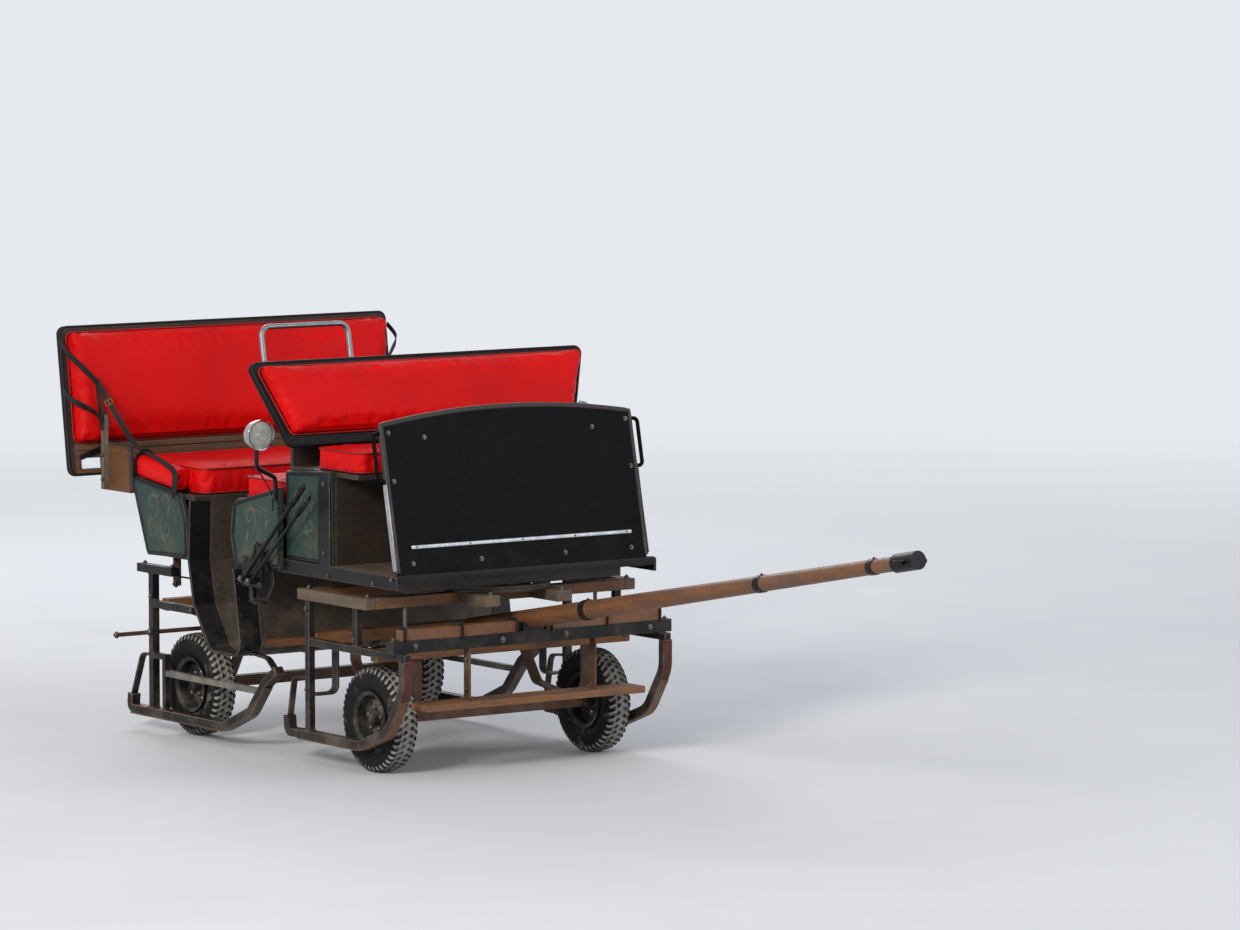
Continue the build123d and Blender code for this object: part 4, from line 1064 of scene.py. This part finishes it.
def scroll(x, z, radius, turns, start, y, width, sense=1):
    # a spiral whose radius shrinks evenly in ratio, drawn as a thin tapering ribbon
    share = np.linspace(0, 1, 70)
    angle = start + sense * share * turns * 2 * math.pi
    r = radius * np.exp(-1.9 * share)
    taper = 0.35 + 0.65 * np.sin(np.clip(share * 1.15 + 0.08, 0, 1) * math.pi) ** 0.8
    return ribbon(x + r * np.cos(angle), z + r * np.sin(angle), y, width, taper)


def leafMark(x, z, length, angle, y, width=0.009):
    # a pointed leaf, bowed sideways: half width = width * sin(pi * s) to the power 1.4 along its length
    share = np.linspace(0.02, 0.98, 24)
    wave = np.sin(share * math.pi)
    reach, bow = (share - 0.5) * length, 0.14 * length * wave
    return ribbon(x + reach * math.cos(angle) - bow * math.sin(angle),
                  z + reach * math.sin(angle) + bow * math.cos(angle),
                  y, width, np.maximum(0.04, wave ** 1.4))


def panelScrolls():
    for x, z, y, size in ((-0.69, 0.9, 0.6403, 1.0), (-1.4, 0.9, 0.6603, 1.0), (-0.395, 0.99, 0.6103, 0.85)):
        for a, b, radius, turns, start, width, sense in (
                (-0.055, 0.05, 0.06, 1.3, -1.2, 0.0055, 1), (0.055, -0.045, 0.06, 1.3, 1.94, 0.0055, 1),
                (0.06, 0.07, 0.036, 1.1, 3.6, 0.0042, -1), (-0.06, -0.065, 0.036, 1.1, 0.4, 0.0042, -1)):
            yield scroll(x + a * size, z + b * size, radius * size, turns, start, y, width, sense)
        for angle in (0.3, 1.9, 3.4, 5.0):
            yield leafMark(x + 0.085 * size * math.cos(angle), z + 0.1 * size * math.sin(angle), 0.075 * size,
                           angle + 0.9, y)


addPiece("panelMouldings", bothSides(mouldings()), "blackPaint")
addPiece("panelScrolls", bothSides(panelScrolls()), "panelScroll", "green_paint")
print("panels done")

# seats: every pad is a remeshed copy of its solid, blown up a little by the cloth solver with its seams held

seatLook = dict(pressure=4.0, frames=20, stiffness=12, shrink=-0.035, pipe=0.0042, boardPipe=0.0048,
                padPipe=0.004)
# name, node, size of the grid, how far it is drawn in first, how far it may swell
pads = (
    ("rearPad", "rear_back_pad", 0.0105, 0.006, 0.02), ("driverPad", "driver_back_pad", 0.0105, 0.006, 0.018),
    ("rearSeat", "rear_cushion", 0.01, 0.004, 0.02), ("benchSeat", "bench_cushion", 0.01, 0.004, 0.018),
    ("driverSeat", "driver_cushion", 0.01, 0.004, 0.018), ("armRolls", "rear_arm_rolls", 0.007, 0.004, 0.009),
)
# foot, lean in degrees, depth of the part that stays on the board
backs = dict(rearPad=((-1.885, 1.035), 8, 0.046), driverPad=((-0.396, 1.258), 20, 0.044))
# two corners, radius, bottom and top; then the worn hollows, their depth and their reach
cushions = dict(
    rearSeat=((-1.79, -0.593), (-1.165, 0.593), 0.04, 1.0003, 1.11,
              [(-1.46, -0.33), (-1.46, 0.33)], 0.013, (0.2, 0.21)),
    benchSeat=((-0.862, -0.59), (-0.534, 0.59), 0.035, 1.0153, 1.105,
               [(-0.69, -0.28), (-0.69, 0.3)], 0.01, (0.13, 0.19)),
    driverSeat=((-0.348, -0.584), (-0.025, 0.584), 0.04, 1.1703, 1.258, [(-0.18, -0.25)], 0.012, (0.13, 0.2)),
)
rollFoot, rollRun, rollFall = (-1.622, 0.635, 1.052), 0.382, 0.047


def roundRect(p, low, high, radius):
    # signed distance to a rectangle with rounded corners, negative inside
    middle, half = (np.array(low) + high) / 2, (np.array(high) - low) / 2 - radius
    away = np.abs(p - middle) - half
    outside = np.linalg.norm(np.maximum(away, 0), axis=1)
    return outside + np.minimum(np.max(away, axis=1), 0) - radius


def remeshed(name, node, voxel, shrink):
    # a pad's solid on an even grid, each point drawn in along its normal
    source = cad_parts[node]
    work = bmesh.new()
    work.from_mesh(source.data)
    work.transform(source.matrix_world)
    bmesh.ops.remove_doubles(work, verts=work.verts, dist=1e-5)
    bmesh.ops.recalc_face_normals(work, faces=work.faces)
    piece = linked(name, settled(work, name + "Start"))
    modifier = piece.modifiers.new("remesh", "REMESH")
    modifier.mode, modifier.voxel_size = "VOXEL", voxel
    grid = bpy.data.meshes.new_from_object(piece.evaluated_get(bpy.context.evaluated_depsgraph_get()))
    piece.modifiers.clear()
    piece.data = grid
    grid.name = name
    points = rowsOf(grid.vertices) - rowsOf(grid.vertices, "normal") * shrink
    grid.vertices.foreach_set("co", points.ravel())
    return piece


def held(name, p):
    # the points that stay: on a back's board, along a cushion's seam and bottom, on the panel under a roll
    if name in backs:
        (x, z), lean, depth = backs[name]
        return (p - [axleX + x, 0, z]) @ outOf(lean) < depth
    if name == "armRolls":
        return p[:, 2] - rollFoot[2] + (p[:, 0] - axleX - rollFoot[0]) * rollFall / rollRun < 0.018
    low, high, radius, bottom, top, *_ = cushions[name]
    edge = np.abs(roundRect(p[:, :2] - [axleX, 0], low, high, radius) + 0.004) < 0.011
    return edge & (np.abs(p[:, 2] - (top - 0.004)) < 0.0115) | (p[:, 2] < bottom + 0.018)


def blownUp(pieces, caps):
    # all pads swell together over the frames; how far each point goes levels off at the pad's cap
    starts = [rowsOf(piece.data.vertices) for piece in pieces]
    for piece, start in zip(pieces, starts):
        group = piece.vertex_groups.new(name="held")
        group.add(np.nonzero(held(piece.name, start))[0].tolist(), 1.0, "REPLACE")
        cloth = piece.modifiers.new("cloth", "CLOTH")
        for key, value in dict(quality=4, vertex_group_mass="held", use_pressure=True, bending_stiffness=0.4,
                               uniform_pressure_force=seatLook["pressure"], shrink_min=seatLook["shrink"],
                               tension_stiffness=seatLook["stiffness"],
                               compression_stiffness=seatLook["stiffness"]).items():
            setattr(cloth.settings, key, value)
        cloth.settings.effector_weights.gravity = 0
        cloth.point_cache.frame_end = seatLook["frames"]
    for number in range(1, seatLook["frames"] + 1):
        scene.frame_set(number)
    view = bpy.context.evaluated_depsgraph_get()
    ends = [rowsOf(piece.evaluated_get(view).data.vertices) for piece in pieces]
    for piece, cap, start, end in zip(pieces, caps, starts, ends):
        piece.modifiers.clear()
        piece.vertex_groups.clear()
        length = np.linalg.norm(end - start, axis=1, keepdims=True) + 1e-9
        points = start + (end - start) / length * cap * np.tanh(length / cap)
        piece.data.vertices.foreach_set("co", points.ravel())
    scene.frame_set(1)


def satOn(piece, places, depth, size):
    # worn hollows: a bell curve pressed down into the top at each place
    p = rowsOf(piece.data.vertices)
    share = np.clip((p[:, 2] - (p[:, 2].max() - 0.05)) / 0.03, 0, 1)
    for x, y in places:
        away = ((p[:, 0] - axleX - x) / size[0]) ** 2 + ((p[:, 1] - y) / size[1]) ** 2
        p[:, 2] -= depth * np.exp(-away) * share
    piece.data.vertices.foreach_set("co", p.ravel())


padPieces = [remeshed(*row[:4]) for row in pads]
blownUp(padPieces, [row[4] for row in pads])
for piece, (name, node, *_) in zip(padPieces, pads):
    if name in cushions:
        satOn(piece, *cushions[name][5:])
    piece.data.materials.clear()
    piece.data.materials.append(stuff["redLeather"])
    piece.data.shade_smooth()
    smooth = piece.modifiers.new("soften", "SUBSURF")
    smooth.levels = smooth.render_levels = 1
    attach(piece, "body")
    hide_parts(node)
print("pads done")

# piping round the cushions, the boards' leather edges and the pads on them

onRear, onDriver = leaned(*backs["rearPad"][:2]), leaned(*backs["driverPad"][:2])
# the leaned face, the board's outline and its corners' radius, the pad's outline and its corners' radius
boards = ((onRear, [(-0.8, 0.0), (0.8, 0.0), (0.8, 0.612), (-0.8, 0.612)], 0.03,
           [(-0.778, 0.132), (0.778, 0.132), (0.778, 0.588), (-0.778, 0.588)], 0.026),
          (onDriver, [(-0.68, 0.0), (0.68, 0.0), (0.8, 0.342), (-0.8, 0.342)], 0.026,
           [(-0.67, 0.042), (0.67, 0.042), (0.777, 0.322), (-0.777, 0.322)], 0.024))


def faceLoop(outline, radius, w):
    # an outline with bent corners, laid at w above its face
    return evenly(looped(np.column_stack([outline, np.full(len(outline), w)]), radius, 9), 0.008, True)


def seatPiping():
    # one cord just inside each cushion's top edge and one above its bottom
    gap = 0.0025
    for (x0, y0), (x1, y1), radius, bottom, top, *_ in cushions.values():
        outline = [(x1 - gap, y0 + gap), (x1 - gap, y1 - gap), (x0 + gap, y1 - gap), (x0 + gap, y0 + gap)]
        for z in (top - 0.004, bottom + 0.008):
            line = faceLoop(outline, radius - gap, z) + [axleX, 0, 0]
            yield tube(line, seatLook["pipe"], 10, up, True)


boardPipes, padPipes, tacks = [], [], []
slant = (0.99, 0, 0.14)
for put, board, radius, pad, padRadius in boards:
    for w in (0.001, 0.023):
        boardPipes.append(tube(put(faceLoop(board, radius, w)), seatLook["boardPipe"], 10, slant, True))
    padPipes.append(tube(put(faceLoop(pad, padRadius, 0.03)), seatLook["padPipe"], 10, slant, True))
    marks = put(evenly(faceLoop(inset(board, 0.02), radius, 0.0), 0.05, True))
    tacks += [dome(place, -outOf(8), 0.0042) for place in marks]
tacks += [bolt(place, -outOf(8), 0.006)
          for place in onRear([(y, v, -0.0062) for y in (-0.5, 0.0, 0.5) for v in (0.06, 0.3, 0.5)])]
addPiece("seatPiping", seatPiping(), "redPiping", "red_leather")
addPiece("boardPiping", boardPipes, "blackLeather", "black_leather")
addPiece("padPiping", padPipes, "redPiping", "red_leather")
addPiece("boardTacks", tacks, "brass", "black_leather")

# rear board: brown band with rails below the pad, and flat irons behind, bent under the seat's rear edge

bandBoards = ((-0.775, 0.775, 0.07, 0.127), (-0.775, -0.747, 0.01, 0.069), (0.747, 0.775, 0.01, 0.069),
              (-0.598, 0.598, 0.01, 0.069))
addPiece("rearRails", [leanedBlock(onRear, (-0.77, low, 0.0235), (0.77, high, 0.0335), 0.003)
                       for low, high in ((0.004, 0.022), (0.1, 0.126))], "brownBoardY", "dark_wood")
addPiece("rearBandBoard", [leanedBlock(onRear, (u0, v0, 0.0225), (u1, v1, 0.0262), 0.0012)
                           for u0, u1, v0, v1 in bandBoards], "brownBoardY", "dark_wood")


def rearBraces():
    # each side also has a short diagonal in the band
    for y in (-0.5, 0.0, 0.5):
        line = [*onRear([(y, 0.54, -0.0005), (y, 0.0, -0.0005)]), at(-1.888, y, 0.985)]
        yield swept(bent(line, 0.02, 5), bar(0.019, 0.0055), (1, 0, 0.14))
    diagonal = onRear([(0.755, 0.07, 0.0365), (0.63, 0.11, 0.0365)])
    yield from bothSides([swept(diagonal, bar(0.011, 0.004, 0.3, 0.002), (1, 0, 0.14))])


addPiece("rearBraces", rearBraces(), "blackPaint")

# post hooks, side straps with buckles, the rolls' bands, the hoop's clamps and the wings' trim

strapLook = dict(half=0.0115, thick=0.0042, hookHalf=0.016, hookThick=0.006)
hookEye = (-1.81, 0.712, 1.43)
rollAhead, rollUp = unit([rollRun, 0, -rollFall]), unit([rollFall, 0, rollRun])


def squareTo(run, vector):
    return unit(vector - run * (run @ vector))


def wireLoop(middle, wide, high, radius, wire, face):
    # a wire bent round a rectangle that reaches wide and high from its middle
    corners = middle + np.array([wide - high, wide + high, high - wide, -wide - high])
    return tube(evenly(looped(corners, radius, 4), 0.003, True), wire, 8, face, True)


def onRoll(along, out, above):
    # a place by its distances along the roll, outward and square to the roll
    return np.array(rollFoot) + rollAhead * along + [0, out, 0] + rollUp * above


def postHooks():
    # a low cap on each post, and a flat hook outside it whose eye carries the upper strap
    cap = [(0, 0.0005), (0.0125, 0.0005), (0.013, 0.003), (0.009, 0.007), (0, 0.009)]
    stem = [(-1.806, 0.6845, 1.225), (-1.806, 0.6845, 1.29), (-1.809, 0.69, 1.335), (-1.811, 0.6965, 1.39),
            (-1.81, 0.6995, 1.436)]
    run = np.array([0.288, -0.568, -0.773])
    out = squareTo(run, [0, 1, 0.25])
    return [turned(cap, at(-1.805, 0.672, 1.29), up, 20),
            swept(evenly(rounded(route(stem)), 0.006),
                  bar(strapLook["hookHalf"], strapLook["hookThick"], 0.25), across),
            wireLoop(at(*hookEye), np.cross(run, out) * 0.0165, out * 0.0085, 0.005, 0.0032, run),
            dome(at(-1.806, 0.6903, 1.238), across, 0.0055), dome(at(-1.806, 0.6903, 1.256), across, 0.0055)]


def strapRuns():
    # the upper strap runs from the board through the hook's eye and over the roll, the lower one ends on
    # the post; each point has the way its outer face looks
    upper = [((-1.938, 0.8075, 1.592), (0, 1, 0.1)), ((-1.876, 0.8125, 1.55), (0, 1, 0.1)),
             ((-1.856, 0.8, 1.527), (0.5, 0.8, 0.1)), ((-1.84, 0.775, 1.5), (0.8, 0.5, 0.1)),
             (hookEye, (0.4, 0.7, -0.2)), ((-1.797, 0.7, 1.408), (0.4, 0.8, 0.1)),
             ((-1.7, 0.668, 1.272), (0.6, 0.6, 0.5)), ((-1.625, 0.64, 1.175), (0.5, 0.1, 0.8)),
             (onRoll(0.03, 0.004, 0.1095), (0, 0, 1)), (onRoll(0.12, 0.012, 0.1085), (0, 0.15, 1)),
             (onRoll(0.2, 0.02, 0.1055), (0, 0.4, 0.9)), (onRoll(0.28, 0.028, 0.0985), (0, 0.6, 0.8)),
             (onRoll(0.335, 0.034, 0.09), (0.3, 0.7, 0.65)), (onRoll(0.362, 0.038, 0.072), (0.7, 0.6, 0.3)),
             (onRoll(0.37, 0.042, 0.035), (0.7, 0.7, 0)), (onRoll(0.37, 0.048, -0.02), (0, 1, 0))]
    lower = [((-1.788, 0.6935, 1.262), (0, 1, 0)), ((-1.804, 0.6945, 1.276), (0, 1, 0)),
             ((-1.812, 0.71, 1.296), (0.2, 0.9, -0.2)), ((-1.822, 0.788, 1.338), (0.8, 0.5, 0.1)),
             ((-1.85, 0.812, 1.356), (0.2, 1, 0.1)), ((-1.91, 0.8075, 1.386), (0, 1, 0.1))]
    for points in (upper, lower):
        both = rounded([[*at(*place), *face] for place, face in points])
        yield swept(both[:, :3], bar(strapLook["half"], strapLook["thick"], 0.3, 0.002), both[:, 3:])
    for place in ((-1.797, 0.6965, 1.27), onRoll(0.37, 0.05, -0.012)):
        yield dome(at(*place), across, 0.006)


def buckles():
    # a wire frame across the upper strap, with its pin
    run = unit([0.097, -0.032, -0.136])
    out = squareTo(run, [0.5, 0.7, 0.3])
    middle = at(-1.75, 0.6845, 1.342) + out * 0.004
    pin = [middle - run * 0.012, middle + run * 0.013 + out * 0.001]
    return [wireLoop(middle, np.cross(run, out) * 0.015, run * 0.012, 0.004, 0.0016, out),
            tube(pin, 0.0013, 6, out)]


def rollBands():
    # a black band round the rear end of each roll and a border along its foot
    section = [(-0.0385, 0.002), (-0.0385, 0.075), (-0.012, 0.1055), (0.012, 0.1055), (0.0385, 0.075),
               (0.0385, 0.002)]
    ring = evenly(rounded(route([onRoll(0.062, out, above) for out, above in section])), 0.006)
    yield swept(ring, slab(0.016, -0.0015, 0.0022), rollAhead)
    for out in (-0.0375, 0.0375):
        border = [onRoll(along, out, 0.006) for along in np.linspace(0.04, 0.36, 30)]
        yield tube(route(border), 0.0052, 8)


def hoopClamps():
    # clamps that hold the hoop's feet to the driver's board
    for y in (-0.64, -0.23):
        yield leanedBlock(onDriver, (y - 0.024, 0.062, -0.009), (y + 0.024, 0.098, -0.0005), 0.002)
        yield from [bolt(place, -outOf(20), 0.0045)
                    for place in onDriver([(y - 0.018, 0.08, -0.0092), (y + 0.018, 0.08, -0.0092)])]


wingEdge = bent(alongY(0.65, [(-1.858, 1.1645), (-1.6415, 1.1645), (-1.6265, 0.985)]), 0.02, 6)
wingTacks = [dome(at(x, 0.6602, 1.142), across, 0.0038) for x in np.linspace(-1.845, -1.655, 8)]
addPiece("postHooks", bothSides(postHooks()), "darkIron")
addPiece("strapRuns", bothSides(strapRuns()), "blackLeather", "black_leather", replaced="side_straps")
addPiece("strapBuckles", bothSides(buckles()), "brass", "chrome")
addPiece("rollBands", bothSides(rollBands()), "blackLeather", "black_leather")
addPiece("hoopClamps", hoopClamps(), "dullSteel", "steel")
addPiece("wingTrim", bothSides([tube(evenly(wingEdge, 0.01), 0.0108, 12, across)]), "edgeLeather",
         "brown_leather")
addPiece("wingTacks", bothSides(wingTacks), "brass", "brown_leather")
print("seats done")


# floor, light and camera

stageLook = dict(size=400.0, paper="e4e6ea", paper2="dfe1e6", horizon="e6e9ee", fade=(3.5, 16.0), sky=0.55)
# name, place, width, power, tint
lampTable = (("keyLight", (8.25, -16.5, 9.5), 5.2, 2650, (1.0, 0.95, 0.88)),
             ("fillLight", (9.0, 6.0, 5.0), 6.0, 230, (0.9, 0.95, 1.0)),
             ("rimLight", (-9.0, 3.0, 6.0), 5.0, 260, (1.0, 1.0, 1.0)))


def aimed(thing, place, direction):
    thing.location = place
    thing.rotation_euler = Vector(direction).to_track_quat("-Z", "Y").to_euler()


def seenRay(s):
    # 1 for what the eye sees straight, in a reflection or through glass, 0 for light on its way
    path = s.node("LightPath", {}).outputs
    bounced = s.math("MAXIMUM", path["Is Glossy Ray"], path["Is Transmission Ray"])
    return s.math("MAXIMUM", path["Is Camera Ray"], bounced)


def addStage():
    size, paper, paper2, horizon, fade, sky = stageLook.values()
    floor = bpy.data.meshes.new("floor")
    corners = [(-size, -size, 0), (size, -size, 0), (size, size, 0), (-size, size, 0)]
    floor.from_pydata(corners, [], [(0, 1, 2, 3)])
    s = Shade("floorPaper")
    s.feed(s.shader, {"Base Color": s.mix(s.cloud(0.3, 0.7, 1.0, 0.7, 3.0), paper, paper2), "Roughness": 0.9})
    away = s.node("VectorMath", {0: s.place}, operation="LENGTH").outputs["Value"]
    far = s.times(s.ranged(away, *fade), seenRay(s))
    glow = s.node("Emission", dict(Color=horizon)).outputs[0]
    mix = s.node("MixShader", {0: far, 1: s.shader.outputs[0], 2: glow})
    s.feed(s.tree.nodes["Material Output"], dict(Surface=mix.outputs[0]))
    floor.materials.append(s.material)
    linked("floor", floor)
    world = bpy.data.worlds.new("studio")
    scene.world = world
    world.use_nodes = True
    s = Shade("studio", world.node_tree)
    strength = s.ranged(seenRay(s), 0.0, 1.0, sky, 1.0)
    s.feed(s.tree.nodes["Background"], dict(Color=horizon, Strength=strength))


addStage()
for name, place, size, power, tint in lampTable:
    light = bpy.data.lights.new(name, "AREA")
    light.shape, light.size, light.energy, light.color = "DISK", size, power, tint
    aimed(linked(name, light), place, Vector((0, 0, 0.8)) - Vector(place))

# the photograph's long lens: 26 m away, 35.5 degrees off the sleigh's line, looking 5.4 degrees down
cameraLook = dict(away=(21.12, -14.42, 3.60), heading=35.5, down=5.405, focalPixels=6500, widthPixels=1240)
cameraData = bpy.data.cameras.new("photoCamera")
camera = linked("photoCamera", cameraData)
heading, dip = math.radians(cameraLook["heading"]), math.radians(cameraLook["down"])
aimed(camera, at(*cameraLook["away"]),
      (-math.cos(heading) * math.cos(dip), math.sin(heading) * math.cos(dip), -math.sin(dip)))
cameraData.sensor_width = 36
cameraData.lens = cameraLook["focalPixels"] * 36 / cameraLook["widthPixels"]
cameraData.clip_end = 1000
scene.camera = camera
scene.view_settings.view_transform = "Standard"
